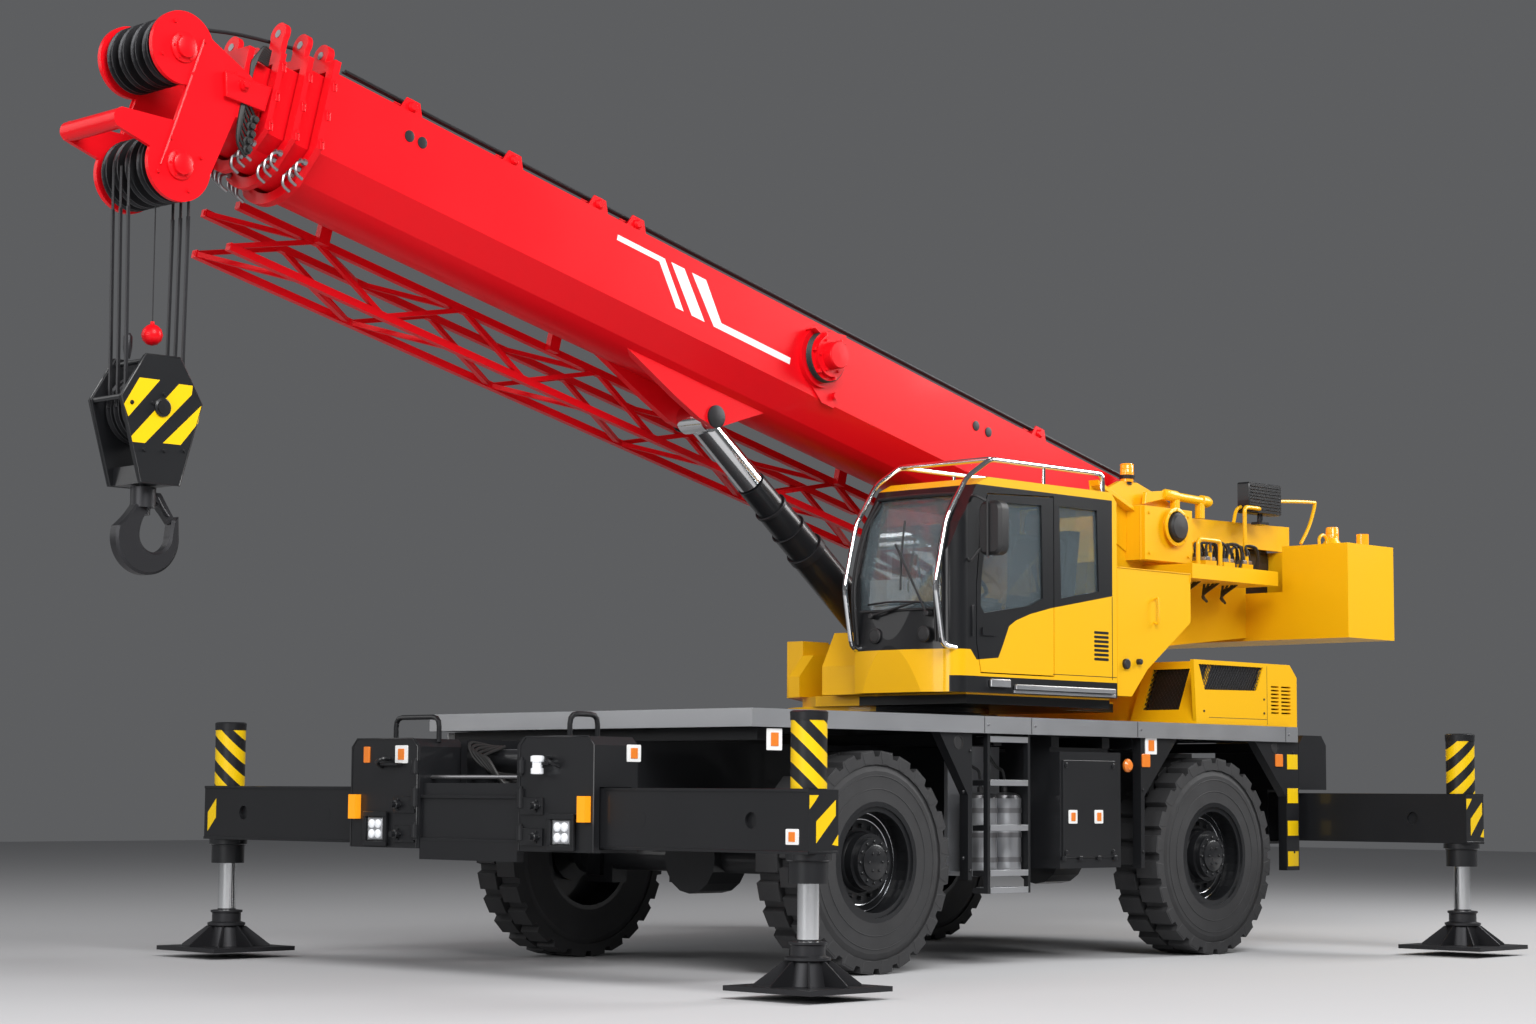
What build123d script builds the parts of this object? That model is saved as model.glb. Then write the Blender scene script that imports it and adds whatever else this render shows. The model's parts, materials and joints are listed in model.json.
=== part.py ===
from build123d import *
import os
from math import cos, hypot, pi, radians, sin

# Two-axle mobile crane with a five-plate telescopic boom, standing on its tyres with its
# outriggers part out.  Millimetres.  +X forward, +Y left, +Z up, ground at Z = 0.
# Pieces are drawn from the slewing axis (X = 0) and written from the middle of the whole length.
ORIGIN_SHIFT = -1124

os.makedirs("parts", exist_ok=True)

# ---------------------------------------------------------------- driving dimensions
AXLE_X = 1774                 # axles stand this far before and behind the slewing axis
TYRE_R = 685
TYRE_WIDTH = 375
TYRE_FACE_Y = 1487            # outer face of the tyres, half the overall width
RIM_R = 372
KINGPIN_Y = 1010

DECK_FRONT = 2879
DECK_REAR = -2824
DECK_TOP = 1606
DECK_EDGE_DEPTH = 110
DECK_HALF = 1487

BEAM_WIDTH = 234
BEAM_BOTTOM = 782
BEAM_TOP = 1125
FRONT_BEAM_X = 3630           # middle of the front outrigger beams
REAR_BEAM_X = -3110
JACK_Y = 2653
BEAM_END_Y = 2764
PAD_SIZE = 648
PAD_BOTTOM = 45

BOOM_ANGLE = 13.3             # stored elevation of the boom
PIVOT_X = -2500
PIVOT_Z = 3100
BOOM_HALF = 330
BOOM_TOP = 285                # boom frame: heights from the pivot's line
BOOM_EDGE = -210
BOOM_BOTTOM = -450
BOOM_FRONT = 7800

CAB_BACK = -750
CAB_INNER = 570
CAB_OUTER = 1420
CAB_BOTTOM = 1760
CAB_ROOF = 3165
DOOR_REAR = -65

WALL = 30
CLEAR = 8                     # running gap between pieces that slide or turn past each other


# ---------------------------------------------------------------- helpers
def span(x, y, z, mode=Mode.ADD):
    """A block between two values on each axis, added to the part in hand."""
    middle = [(low + high) / 2 for low, high in (x, y, z)]
    with Locations(tuple(middle)):
        Box(x[1] - x[0], y[1] - y[0], z[1] - z[0], mode=mode)


def outline(points, plane):
    """A closed polygon drawn on a plane."""
    with BuildSketch(plane) as face:
        with BuildLine():
            Polyline(*points, close=True)
        make_face()
    return face.sketch


def side_plate(points, y0, y1, mode=Mode.ADD):
    """A plate whose outline lies in X and Z, from y0 to y1."""
    extrude(outline(points, Plane.XZ.offset(-y0)), amount=y0 - y1, mode=mode)


def cross_plate(points, x0, x1, mode=Mode.ADD):
    """A plate whose outline lies in Y and Z, from x0 to x1."""
    extrude(outline(points, Plane.YZ.offset(x0)), amount=x1 - x0, mode=mode)


def flat_plate(points, z0, z1, mode=Mode.ADD):
    """A plate whose outline lies in X and Y, from z0 to z1."""
    extrude(outline(points, Plane.XY.offset(z0)), amount=z1 - z0, mode=mode)


def rod(start, end, radius, mode=Mode.ADD):
    """A round bar from one point to another."""
    axis = Vector(end) - Vector(start)
    with BuildSketch(Plane(origin=start, z_dir=axis)) as disc:
        Circle(radius)
    extrude(disc.sketch, amount=axis.length, mode=mode)


def bent_bar(points, bend, radius):
    """A twelve-sided bar through points, each inner corner rounded off by three short runs."""
    track = [Vector(points[0])]
    for before, corner, after in zip(points, points[1:], points[2:]):
        knee = Vector(corner)
        near = knee + (Vector(before) - knee).normalized() * bend
        far = knee + (Vector(after) - knee).normalized() * bend
        for share in (0, 1 / 3, 2 / 3, 1):
            track.append(near * (1 - share) ** 2 + knee * 2 * share * (1 - share) + far * share ** 2)
    track.append(Vector(points[-1]))
    with BuildLine() as path:
        Polyline(*track)
    with BuildSketch(Plane(origin=track[0], z_dir=track[1] - track[0])) as ring:
        RegularPolygon(radius, 12)
    sweep(ring.sketch, path=path.line, transition=Transition.RIGHT)


def square_bar(start, end, size, up=(0, 0, 1), mode=Mode.ADD):
    """A square bar from one point to another."""
    axis = Vector(end) - Vector(start)
    with BuildSketch(Plane(origin=start, x_dir=axis.cross(Vector(up)), z_dir=axis)) as square:
        Rectangle(size, size)
    extrude(square.sketch, amount=axis.length, mode=mode)


def boom_point(along, height):
    """X and Z of a point in the boom's own frame, along it and above its pivot's line."""
    tilt = radians(BOOM_ANGLE)
    return (PIVOT_X + along * cos(tilt) - height * sin(tilt),
            PIVOT_Z + along * sin(tilt) + height * cos(tilt))


def boom_xyz(along, y, height):
    x, z = boom_point(along, height)
    return (x, y, z)


def boom_plane(along):
    """A plane square to the boom: its x runs to the left, its y up, its z towards the head."""
    x, z = boom_point(along, 0)
    tilt = radians(BOOM_ANGLE)
    return Plane(origin=(x, 0, z), x_dir=(0, 1, 0), z_dir=(cos(tilt), 0, sin(tilt)))


def boom_side(points, y0, y1, mode=Mode.ADD):
    """A plate whose outline is (along, height) in the boom's frame, from y0 to y1."""
    side_plate([boom_point(along, height) for along, height in points], y0, y1, mode)


def ring_stack(stations, sides, x, middle_y, z, side):
    """A solid of ruled rings about an axle: stations of (distance outwards, radius)."""
    rings = []
    for distance, radius in stations:
        seat = Plane(origin=(x, middle_y + side * distance, z), x_dir=(1, 0, 0), z_dir=(0, side, 0))
        with BuildSketch(seat) as ring:
            RegularPolygon(radius, sides)
        rings.append(ring.sketch)
    loft(rings, ruled=True)


def save(piece, name):
    """Move a finished piece to the row's origin and write it."""
    finished = piece.part.moved(Location((ORIGIN_SHIFT, 0, 0)))
    finished.label = name
    export_step(finished, f"parts/{name}.step")


CORNERS = [("fl", 1, 1), ("fr", 1, -1), ("rl", -1, 1), ("rr", -1, -1)]   # name, end, side
SIDES = [1, -1]


# ---------------------------------------------------------------- carrier
RAIL_INNER = 380
RAIL_OUTER = 440
BEARER_HALF = 1395
TUNNEL_HALF = BEAM_WIDTH / 2 + CLEAR
BOX_HALF = TUNNEL_HALF + 20
BOX_END_Y = 1120
CHEEK_INNER_Y = 450
CHEEK_TOP = 1425
CHEEK_BOTTOM = 755
CHEEK_FRONT = FRONT_BEAM_X + BOX_HALF + 25

FRONT_TUBES = [(3280, 1290, 75), (3440, 1190, 14), (2850, 1050, 60)]      # X, Z, radius, rail to rail

with BuildPart() as chassis_frame:
    for side in SIDES:
        low, high = sorted((side * RAIL_INNER, side * RAIL_OUTER))
        span((REAR_BEAM_X + BOX_HALF, FRONT_BEAM_X - BOX_HALF), (low, high), (900, 1420))
    for x in (-2900, -1000, 0, 1000, 2600):
        span((x - 60, x + 60), (-RAIL_INNER, RAIL_INNER), (1180, 1400))
    for x in (-2750, -970, -650, -100, 500, 860, 2700):     # bearers that carry the deck and side gear
        span((x - 40, x + 40), (-BEARER_HALF, BEARER_HALF), (1420, 1490))
    span((DECK_REAR + 40, DECK_FRONT - 40), (-RAIL_OUTER, RAIL_OUTER), (1490, 1556))
    span((DECK_REAR + 120, DECK_REAR + 740), (-330, 330), (1480, 1560), mode=Mode.SUBTRACT)
    for x, z, radius in FRONT_TUBES:
        rod((x, -RAIL_INNER - 30, z), (x, RAIL_INNER + 30, z), radius)
    for x in (FRONT_BEAM_X, REAR_BEAM_X):       # boxes that the outrigger beams slide in
        span((x - BOX_HALF, x + BOX_HALF), (-BOX_END_Y, BOX_END_Y), (BEAM_BOTTOM - 28, BEAM_TOP + 28))
        span((x - TUNNEL_HALF, x + TUNNEL_HALF), (-BOX_END_Y, BOX_END_Y),
             (BEAM_BOTTOM - CLEAR, BEAM_TOP + CLEAR), mode=Mode.SUBTRACT)
    with BuildSketch(Plane.XY.offset(1556)) as race:
        Circle(760)
    extrude(race.sketch, amount=DECK_TOP + 44 - 1556)
save(chassis_frame, "chassis_frame")

GRAB_LOOPS = [(3630, -900, 3630, -480), (3500, 820, 3720, 820)]      # foot x, y, foot x, y
GRAB_TOP = 1560
GRAB_BEND = 60
LAMP_RECESS_Y = (CHEEK_INNER_Y + 300, CHEEK_INNER_Y + 520)
HINGE_LUGS = [(820, 900), (1010, 1120), (1210, 1290)]       # lowest and highest Z
with BuildPart() as front_bumper:
    for side in SIDES:
        y_in, y_out = side * CHEEK_INNER_Y, side * BOX_END_Y
        cross_plate([(y_in, CHEEK_BOTTOM), (y_out, CHEEK_BOTTOM), (y_out, CHEEK_TOP - 50),
                     (y_out - side * 50, CHEEK_TOP), (y_in + side * 50, CHEEK_TOP), (y_in, CHEEK_TOP - 50)],
                    FRONT_BEAM_X - BOX_HALF - 30, CHEEK_FRONT)
        low, high = sorted((side * LAMP_RECESS_Y[0], side * LAMP_RECESS_Y[1]))
        span((CHEEK_FRONT - 15, CHEEK_FRONT), (low, high), (780, 960), mode=Mode.SUBTRACT)
        for z0, z1 in HINGE_LUGS:
            hinge_y = side * (CHEEK_INNER_Y + 40)
            rod((CHEEK_FRONT, hinge_y, z0), (CHEEK_FRONT, hinge_y, z1), 28)
            rod((CHEEK_FRONT, hinge_y, z0 - 15), (CHEEK_FRONT, hinge_y, z1 + 15), 14)
    span((CHEEK_FRONT - 60, CHEEK_FRONT - 20), (-CHEEK_INNER_Y, CHEEK_INNER_Y), (690, 1075))
    span((CHEEK_FRONT - 60, CHEEK_FRONT - 5), (-CHEEK_INNER_Y, CHEEK_INNER_Y), (690, 815))
    span((FRONT_BEAM_X - BOX_HALF, FRONT_BEAM_X + BOX_HALF), (-BOX_END_Y, BOX_END_Y),
         (BEAM_BOTTOM - 28, BEAM_TOP + 28), mode=Mode.SUBTRACT)
    for x0, y0, x1, y1 in GRAB_LOOPS:
        bent_bar([(x0, y0, CHEEK_TOP - 20), (x0, y0, GRAB_TOP), (x1, y1, GRAB_TOP), (x1, y1, CHEEK_TOP - 20)],
                 GRAB_BEND, 16)
save(front_bumper, "front_bumper")

with BuildPart() as deck:
    span((DECK_REAR + 20, DECK_FRONT - 20), (20 - DECK_HALF, DECK_HALF - 20), (1556, DECK_TOP))
    with BuildSketch(Plane.XY.offset(1500)) as race_hole:
        Circle(760)
    extrude(race_hole.sketch, amount=200, mode=Mode.SUBTRACT)
    span((DECK_REAR + 120, DECK_REAR + 740), (-330, 330), (1500, 1700), mode=Mode.SUBTRACT)
save(deck, "deck")

with BuildPart() as deck_edge:
    span((DECK_REAR, DECK_FRONT), (-DECK_HALF, DECK_HALF), (DECK_TOP - DECK_EDGE_DEPTH, DECK_TOP))
    span((DECK_REAR + 20, DECK_FRONT - 20), (20 - DECK_HALF, DECK_HALF - 20), (1400, 1700),
         mode=Mode.SUBTRACT)
save(deck_edge, "deck_edge")

with BuildPart() as axles:
    for x in (AXLE_X, -AXLE_X):
        rod((x, -860, TYRE_R), (x, 860, TYRE_R), 95)
        with BuildSketch(Plane.YZ.offset(x - 150)) as bowl:
            with Locations((0, TYRE_R)):
                RegularPolygon(230, 16)
        extrude(bowl.sketch, amount=300)
        for side in SIDES:
            low, high = sorted((side * 820, side * (KINGPIN_Y + 55)))
            near, far = sorted((side * 820, side * 905))
            span((x - 65, x + 65), (near, far), (505, 865))
            for z in (505, 820):
                span((x - 65, x + 65), (low, high), (z, z + 45))
                with BuildSketch(Plane.XY.offset(z)) as eye:
                    with Locations((x, side * KINGPIN_Y)):
                        Circle(30.05)
                extrude(eye.sketch, amount=45, mode=Mode.SUBTRACT)
            seat_low, seat_high = sorted((side * 500, side * 620))
            span((x - 90, x + 90), (seat_low, seat_high), (760, 900))       # spring seats
            span((x - 50, x + 50), tuple(sorted((side * RAIL_OUTER, side * 620))), (900, 960))
    rod((-AXLE_X, 0, TYRE_R), (AXLE_X, 0, TYRE_R), 45)
    span((-350, 350), (-200, 200), (560, 900))                              # transfer box
    for x in (-300, 300):
        span((x - 30, x + 30), (-RAIL_INNER, RAIL_INNER), (900, 960))
save(axles, "axles")

HOOD_HALF = 1430
HOOD_FRONT = -1740            # foot of the sloping front between the shoulders
HOOD_REAR = -2900
HOOD_TOP = 2060
HOOD_RAKE = 210
SHOULDER_Y = 850              # the shoulders' inner side, and how far they stand ahead
SHOULDER_STEP = 100
FRONT_MESH_Y = (930, 1250)
SIDE_MESH = [(-1680, 2030), (-2470, 2030), (-2390, 1860), (-1750, 1850)]
HOOD_FIN = [(-1650, DECK_TOP), (-1620, HOOD_TOP), (-1980, HOOD_TOP), (-1980, DECK_TOP)]
LOUVRES_X = ((-2670, -2570), (-2820, -2700))
LOUVRE_ROWS = 8


def hood_form(front, inset, y0, y1, mode=Mode.ADD):
    """The hood's side outline between two values of Y, shrunk for the hollow."""
    side_plate([(front - inset * 1.17, DECK_TOP), (front - HOOD_RAKE - inset * 0.83, HOOD_TOP - inset),
                (HOOD_REAR + 90 + inset / 3, HOOD_TOP - inset),
                (HOOD_REAR + inset, HOOD_TOP - 90 - inset / 2),
                (HOOD_REAR + inset, DECK_TOP - 20 + 5 * inset / 3),
                (DECK_REAR + inset * 2 / 3, DECK_TOP - 20 + 5 * inset / 3),
                (DECK_REAR + inset * 2 / 3, DECK_TOP)], y0, y1, mode)


with BuildPart() as engine_hood:
    hood_form(HOOD_FRONT, 0, -HOOD_HALF, HOOD_HALF)
    for side in SIDES:
        low, high = sorted((side * SHOULDER_Y, side * HOOD_HALF))
        hood_form(HOOD_FRONT + SHOULDER_STEP, 0, low, high)
    hood_form(HOOD_FRONT, WALL, WALL - HOOD_HALF, HOOD_HALF - WALL, Mode.SUBTRACT)
    for side in SIDES:
        low, high = sorted((side * (SHOULDER_Y + WALL), side * (HOOD_HALF - WALL)))
        hood_form(HOOD_FRONT + SHOULDER_STEP, WALL, low, high, Mode.SUBTRACT)
        low, high = sorted((side * FRONT_MESH_Y[0], side * FRONT_MESH_Y[1]))
        side_plate([(-1790, 1710), (-1920, 2005), (-1640, 2005), (-1640, 1710)], low, high, Mode.SUBTRACT)
        low, high = sorted((side * (HOOD_HALF - WALL), side * HOOD_HALF))
        side_plate(HOOD_FIN, low, high)
        side_plate(SIDE_MESH, low, high, Mode.SUBTRACT)
        for x0, x1 in LOUVRES_X:
            for row in range(LOUVRE_ROWS):
                span((x0, x1), (low, high), (1700 + 27 * row, 1712 + 27 * row), Mode.SUBTRACT)
save(engine_hood, "engine_hood")

with BuildPart() as engine:
    span((-2690, -2110), (-320, 320), (1150, 1950))
    span((-2620, -2560), (-RAIL_INNER, RAIL_INNER), (1250, 1330))
    span((-2240, -2180), (-RAIL_INNER, RAIL_INNER), (1250, 1330))
save(engine, "engine")

with BuildPart() as side_gear:
    for side in SIDES:
        low, high = sorted((side * 900, side * 1465))
        span((-720, -60), (low, high), (620, 1390))                         # toolboxes
        low, high = sorted((side * 1000, side * 1380))
        span((-690, -60), (low, high), (1390, 1420))
        low, high = sorted((side * BEARER_HALF, side * 1465))
        span((840, 880), (low, high), (560, DECK_TOP - DECK_EDGE_DEPTH))    # bars beside the ladder
        side_plate([(880, 1100), (880, 1496), (1160, 1496)], low, high)
        span((-990, -950), (low, high), (610, DECK_TOP - DECK_EDGE_DEPTH))
        side_plate([(-990, 1100), (-990, 1496), (-1370, 1496)], low, high)
        side_plate([(-2700, 1100), (-2700, 1496), (-2310, 1496)], low, high)
        span((-2860, -2700), (low, high), (570, DECK_TOP - DECK_EDGE_DEPTH))
save(side_gear, "side_gear")

with BuildPart() as ladders:
    for side in SIDES:
        low, high = sorted((side * 1430, side * 1465))
        for x in (250, 660):
            span((x, x + 25), (low, high), (470, DECK_TOP - DECK_EDGE_DEPTH))
        low, high = sorted((side * BEARER_HALF, side * 1465))
        span((250, 685), (low, high), (1440, 1475))
        low, high = sorted((side * 1340, side * 1465))
        for z in (470, 580, 870, 1160):
            span((250, 685), (low, high), (z, z + 35))
save(ladders, "ladders")

with BuildPart() as air_tanks:
    for side in SIDES:
        for x in (180, 430):
            rod((x, side * 1190, 600), (x, side * 1190, 1080), 110)
        low, high = sorted((side * 1000, side * 1270))
        span((40, 570), (low, high), (575, 600))
        span((40, 570), (min(side * 1000, side * 1030), max(side * 1000, side * 1030)), (575, 1420))
save(air_tanks, "air_tanks")

with BuildPart() as rear_lockers:
    for side in SIDES:
        low, high = sorted((side * 700, side * 1440))
        side_plate([(-3260, 1153), (-3260, 1480), (-3200, 1550), (-2960, 1550), (-2900, 1480), (-2900, 1153)],
                   low, high)
    span((REAR_BEAM_X - BOX_HALF - 30, REAR_BEAM_X - BOX_HALF), (-700, 700), (640, 1160))
    for side in SIDES:
        low, high = sorted((side * 1130, side * 1300))
        span((REAR_BEAM_X + BOX_HALF, -2860), (low, high), (1160, 1300))
save(rear_lockers, "rear_lockers")

with BuildPart() as work_lamps:
    for side in SIDES:
        low, high = sorted((side * (CHEEK_INNER_Y + 325), side * (CHEEK_INNER_Y + 495)))
        span((CHEEK_FRONT - 15, CHEEK_FRONT + 5), (low, high), (800, 940))
save(work_lamps, "work_lamps")

with BuildPart() as amber_lamps:
    for side in SIDES:
        low, high = sorted((side * (BOX_END_Y - 25), side * (BOX_END_Y - 95)))
        span((CHEEK_FRONT, CHEEK_FRONT + 45), (low, high), (930, 1080))
save(amber_lamps, "amber_lamps")


# ---------------------------------------------------------------- wheels and steering
WHEEL_Y = TYRE_FACE_Y - TYRE_WIDTH / 2
TREAD_R = 648                 # bottom of the grooves between the lugs
LUG_COUNT = 24                # lugs in each of the two staggered rows
LUG_SHARE = 0.62              # of a pitch that is lug, the rest being groove
TYRE_SIDES = 36
CARCASS = [(-187, 480), (-187, 560), (-165, 632), (165, 632), (187, 560), (187, 480)]   # across, radius


def tread_row(row, y0, y1):
    """A toothed ring of lugs from y0 to y1, turned by half a pitch in the second row."""
    pitch = 2 * pi / LUG_COUNT
    corners = []
    for lug in range(LUG_COUNT):
        middle = pitch * (lug + row / 2)
        half = pitch * LUG_SHARE / 2
        for radius, turn in ((TREAD_R, middle - half - 0.02), (TYRE_R, middle - half),
                             (TYRE_R, middle + half), (TREAD_R, middle + half + 0.02)):
            corners.append((radius * cos(turn), radius * sin(turn)))
    with BuildSketch(Plane.XZ.offset(-y0)) as toothed:
        with BuildLine():
            Polyline(*corners, close=True)
        make_face()
        RegularPolygon(600, TYRE_SIDES, mode=Mode.SUBTRACT)
    extrude(toothed.sketch, amount=y0 - y1)


with BuildPart() as tyre_form:
    ring_stack(CARCASS, TYRE_SIDES, 0, 0, 0, 1)
    for row, y0, y1 in ((0, -187, -12), (1, 12, 187)):
        tread_row(row, y0, y1)
    with BuildSketch(Plane.XZ.offset(-200)) as bore:
        RegularPolygon(RIM_R, TYRE_SIDES)
    extrude(bore.sketch, amount=400, mode=Mode.SUBTRACT)

for corner, end, side in CORNERS:
    x = end * AXLE_X
    with BuildPart() as knuckle:
        low, high = sorted((side * (KINGPIN_Y - 60), side * (KINGPIN_Y + 60)))
        span((x - 60, x + 60), (low, high), (552, 818))
        for z0, z1 in ((505, 552), (818, 865)):
            rod((x, side * KINGPIN_Y, z0), (x, side * KINGPIN_Y, z1), 30)
        rod((x, side * (KINGPIN_Y + 60), TYRE_R), (x, side * (KINGPIN_Y + 130), TYRE_R), 122)
        rod((x, side * (KINGPIN_Y + 130), TYRE_R), (x, side * 1400, TYRE_R), 60)
    save(knuckle, f"knuckle_{corner}")

    with BuildPart() as tyre:
        with Locations((x, side * WHEEL_Y, TYRE_R)):
            add(tyre_form.part)
    save(tyre, f"tyre_{corner}")

    with BuildPart() as rim:
        barrel_seat = Plane(origin=(x, side * (WHEEL_Y - 186), TYRE_R), x_dir=(1, 0, 0), z_dir=(0, side, 0))
        with BuildSketch(barrel_seat) as barrel:
            RegularPolygon(RIM_R, TYRE_SIDES)
            RegularPolygon(RIM_R - 30, TYRE_SIDES, mode=Mode.SUBTRACT)
        extrude(barrel.sketch, amount=372)
        lip_seat = Plane(origin=(x, side * (WHEEL_Y + 160), TYRE_R), x_dir=(1, 0, 0), z_dir=(0, side, 0))
        with BuildSketch(lip_seat) as lip:
            Circle(RIM_R - 24)
            Circle(RIM_R - 62, mode=Mode.SUBTRACT)
        extrude(lip.sketch, amount=14)
        rod((x, side * (WHEEL_Y + 20), TYRE_R), (x, side * (WHEEL_Y + 45), TYRE_R), RIM_R - 20)
        rod((x, side * (WHEEL_Y - 20), TYRE_R), (x, side * (WHEEL_Y + 130), TYRE_R), 175)
        rod((x, side * (WHEEL_Y + 130), TYRE_R), (x, side * (WHEEL_Y + 165), TYRE_R), 150)
        rod((x, side * (WHEEL_Y - 20), TYRE_R), (x, side * (WHEEL_Y + 110), TYRE_R), 60.05,
            mode=Mode.SUBTRACT)
    save(rim, f"rim_{corner}")


# ---------------------------------------------------------------- outriggers
JACK_R = 97
ROD_R = 60
for corner, end, side in CORNERS:
    x = FRONT_BEAM_X if end > 0 else REAR_BEAM_X
    with BuildPart() as beam:
        low, high = sorted((side * 480, side * BEAM_END_Y))
        span((x - BEAM_WIDTH / 2, x + BEAM_WIDTH / 2), (low, high), (BEAM_BOTTOM, BEAM_TOP))
        for y in (1450, 2330):
            rod((x + BEAM_WIDTH / 2 - 25, side * y, 955), (x + BEAM_WIDTH / 2, side * y, 955), 45,
                mode=Mode.SUBTRACT)
        rod((x, side * JACK_Y, 735), (x, side * JACK_Y, 1550), JACK_R)
        rod((x, side * JACK_Y, 735), (x, side * JACK_Y, 760), JACK_R + 18)
        rod((x, side * JACK_Y, 735), (x, side * JACK_Y, 1500), ROD_R + 1, mode=Mode.SUBTRACT)
    save(beam, f"beam_{corner}")

    with BuildPart() as float_pad:
        rod((x, side * JACK_Y, 150), (x, side * JACK_Y, 1150), ROD_R)
        span((x - PAD_SIZE / 2, x + PAD_SIZE / 2),
             (side * JACK_Y - PAD_SIZE / 2, side * JACK_Y + PAD_SIZE / 2), (PAD_BOTTOM, PAD_BOTTOM + 28))
        rod((x, side * JACK_Y, PAD_BOTTOM + 28), (x, side * JACK_Y, 210), 105)
    save(float_pad, f"float_{corner}")


# ---------------------------------------------------------------- superstructure
PLATE_IN = 400
PLATE_OUT = 440
SLAB_BOTTOM = 1690
LIFT_FOOT = (-240, 1902)      # X and Z of the lift cylinder's foot pin
LIFT_EYE = (1879, 3545)       # X and Z of its rod's pin

with BuildPart() as turntable:
    flat_plate([(740, 560), (740, 1330), (-780, 1330), (-780, 900), (-1450, 850), (-1450, -850), (-150, -880),
                (560, -290), (740, 0)], SLAB_BOTTOM, CAB_BOTTOM)
    with BuildSketch(Plane.XY.offset(DECK_TOP + 50)) as upper_race:
        Circle(700)
    extrude(upper_race.sketch, amount=SLAB_BOTTOM - DECK_TOP - 50)
    for side in SIDES:
        low, high = sorted((side * PLATE_IN, side * PLATE_OUT))
        side_plate([(300, 1760), (300, 2000), (-500, 2300), (-1500, 3180), (-2100, 3430), (-2300, 3430),
                    (-2650, 3330), (-2960, 3215), (-4300, 3235), (-4300, 3032), (-3694, 3032), (-3694, 2330),
                    (-1720, 2130), (-1450, 1760)], low, high)
        low, high = sorted((side * PLATE_OUT, side * 620))
        span((-2740, -2150), (low, high), (2840, 3240))
        rod((PIVOT_X, side * PLATE_OUT, PIVOT_Z), (PIVOT_X, side * 650, PIVOT_Z), 120)
        low, high = sorted((side * 150, side * 200))
        side_plate([(-480, 1760), (-80, 1760), (LIFT_FOOT[0] + 90, LIFT_FOOT[1] + 90),
                    (LIFT_FOOT[0] - 90, LIFT_FOOT[1] + 90)], low, high)
    span((-1450, -1400), (-PLATE_IN, PLATE_IN), (1760, 2150))
    span((-3694, -1450), (-PLATE_IN, PLATE_IN), (2330, 2360))
save(turntable, "turntable")

with BuildPart() as counterweight:
    span((-4334, -3694), (-1370, 1370), (2304, 3025))
    span((-4150, -3694), (-780, 780), (2673, 3100), mode=Mode.SUBTRACT)
save(counterweight, "counterweight")

with BuildPart() as winches:
    for x, z in ((-3300, 2700), (-3900, 2930)):
        rod((x, -330, z), (x, 330, z), 190)
        for y in (-350, 320):
            rod((x, y, z), (x, y + 30, z), 240)
        for y in (-399, 350):
            span((x - 150, x + 150), (y, y + 49), (2360 if x > -3694 else 2673, z))
save(winches, "winches")

VALVE_TRAY = [(-3460, 2700), (-3460, 2810), (-2350, 2810), (-2350, 2700)]
VALVE_TRAY_Y = 900
DECK_PIPES = [[(-3400, 640, 2720), (-3400, 640, 3320), (-3620, 640, 3320), (-3620, 440, 3320)],
              [(-2760, 860, 2720), (-2760, 860, 3000), (-2480, 860, 3000), (-2480, 860, 2720)]]

with BuildPart() as housings:
    side_plate([(CAB_BACK - 30, 1780), (CAB_BACK - 30, 2665), (-1630, 2665), (-1630, 2320), (-1120, 1970),
                (-940, 1780)], PLATE_OUT, 1400)
    flat_plate([(560, -290), (560, -PLATE_OUT), (-150, -950), (-1300, -950), (-1300, -PLATE_OUT),
                (300, -PLATE_OUT), (300, -290)], 1760, 2150)
    side_plate([(300, 1760), (880, 1760), (880, 1950), (760, 2180), (300, 2180)], 190, 540)
    side_plate([(300, 1760), (700, 1760), (700, 1900), (560, 2050), (300, 2050)], -290, -190)
    side_plate(VALVE_TRAY, PLATE_OUT, VALVE_TRAY_Y)
    span((-3440, -2390), (PLATE_OUT, VALVE_TRAY_Y - 20), (2740, 2860), Mode.SUBTRACT)
    for x in (-3350, -3110, -2870):
        span((x - 70, x + 70), (520, 700), (2740, 2870))
        rod((x, 540, 2870), (x, 540, 2930), 22)
        rod((x, 680, 2870), (x, 680, 2930), 22)
    for points in DECK_PIPES:
        bent_bar(points, 40, 16)
save(housings, "housings")

BEACONS = [(-2200, 420, 3430, 130), (-4210, 900, 3025, 170), (-4250, 1150, 3025, 110)]   # x, y, foot, height
with BuildPart() as beacons:
    for x, y, foot, height in BEACONS:
        rod((x, y, foot), (x, y, foot + height), 48)
save(beacons, "beacons")


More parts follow.
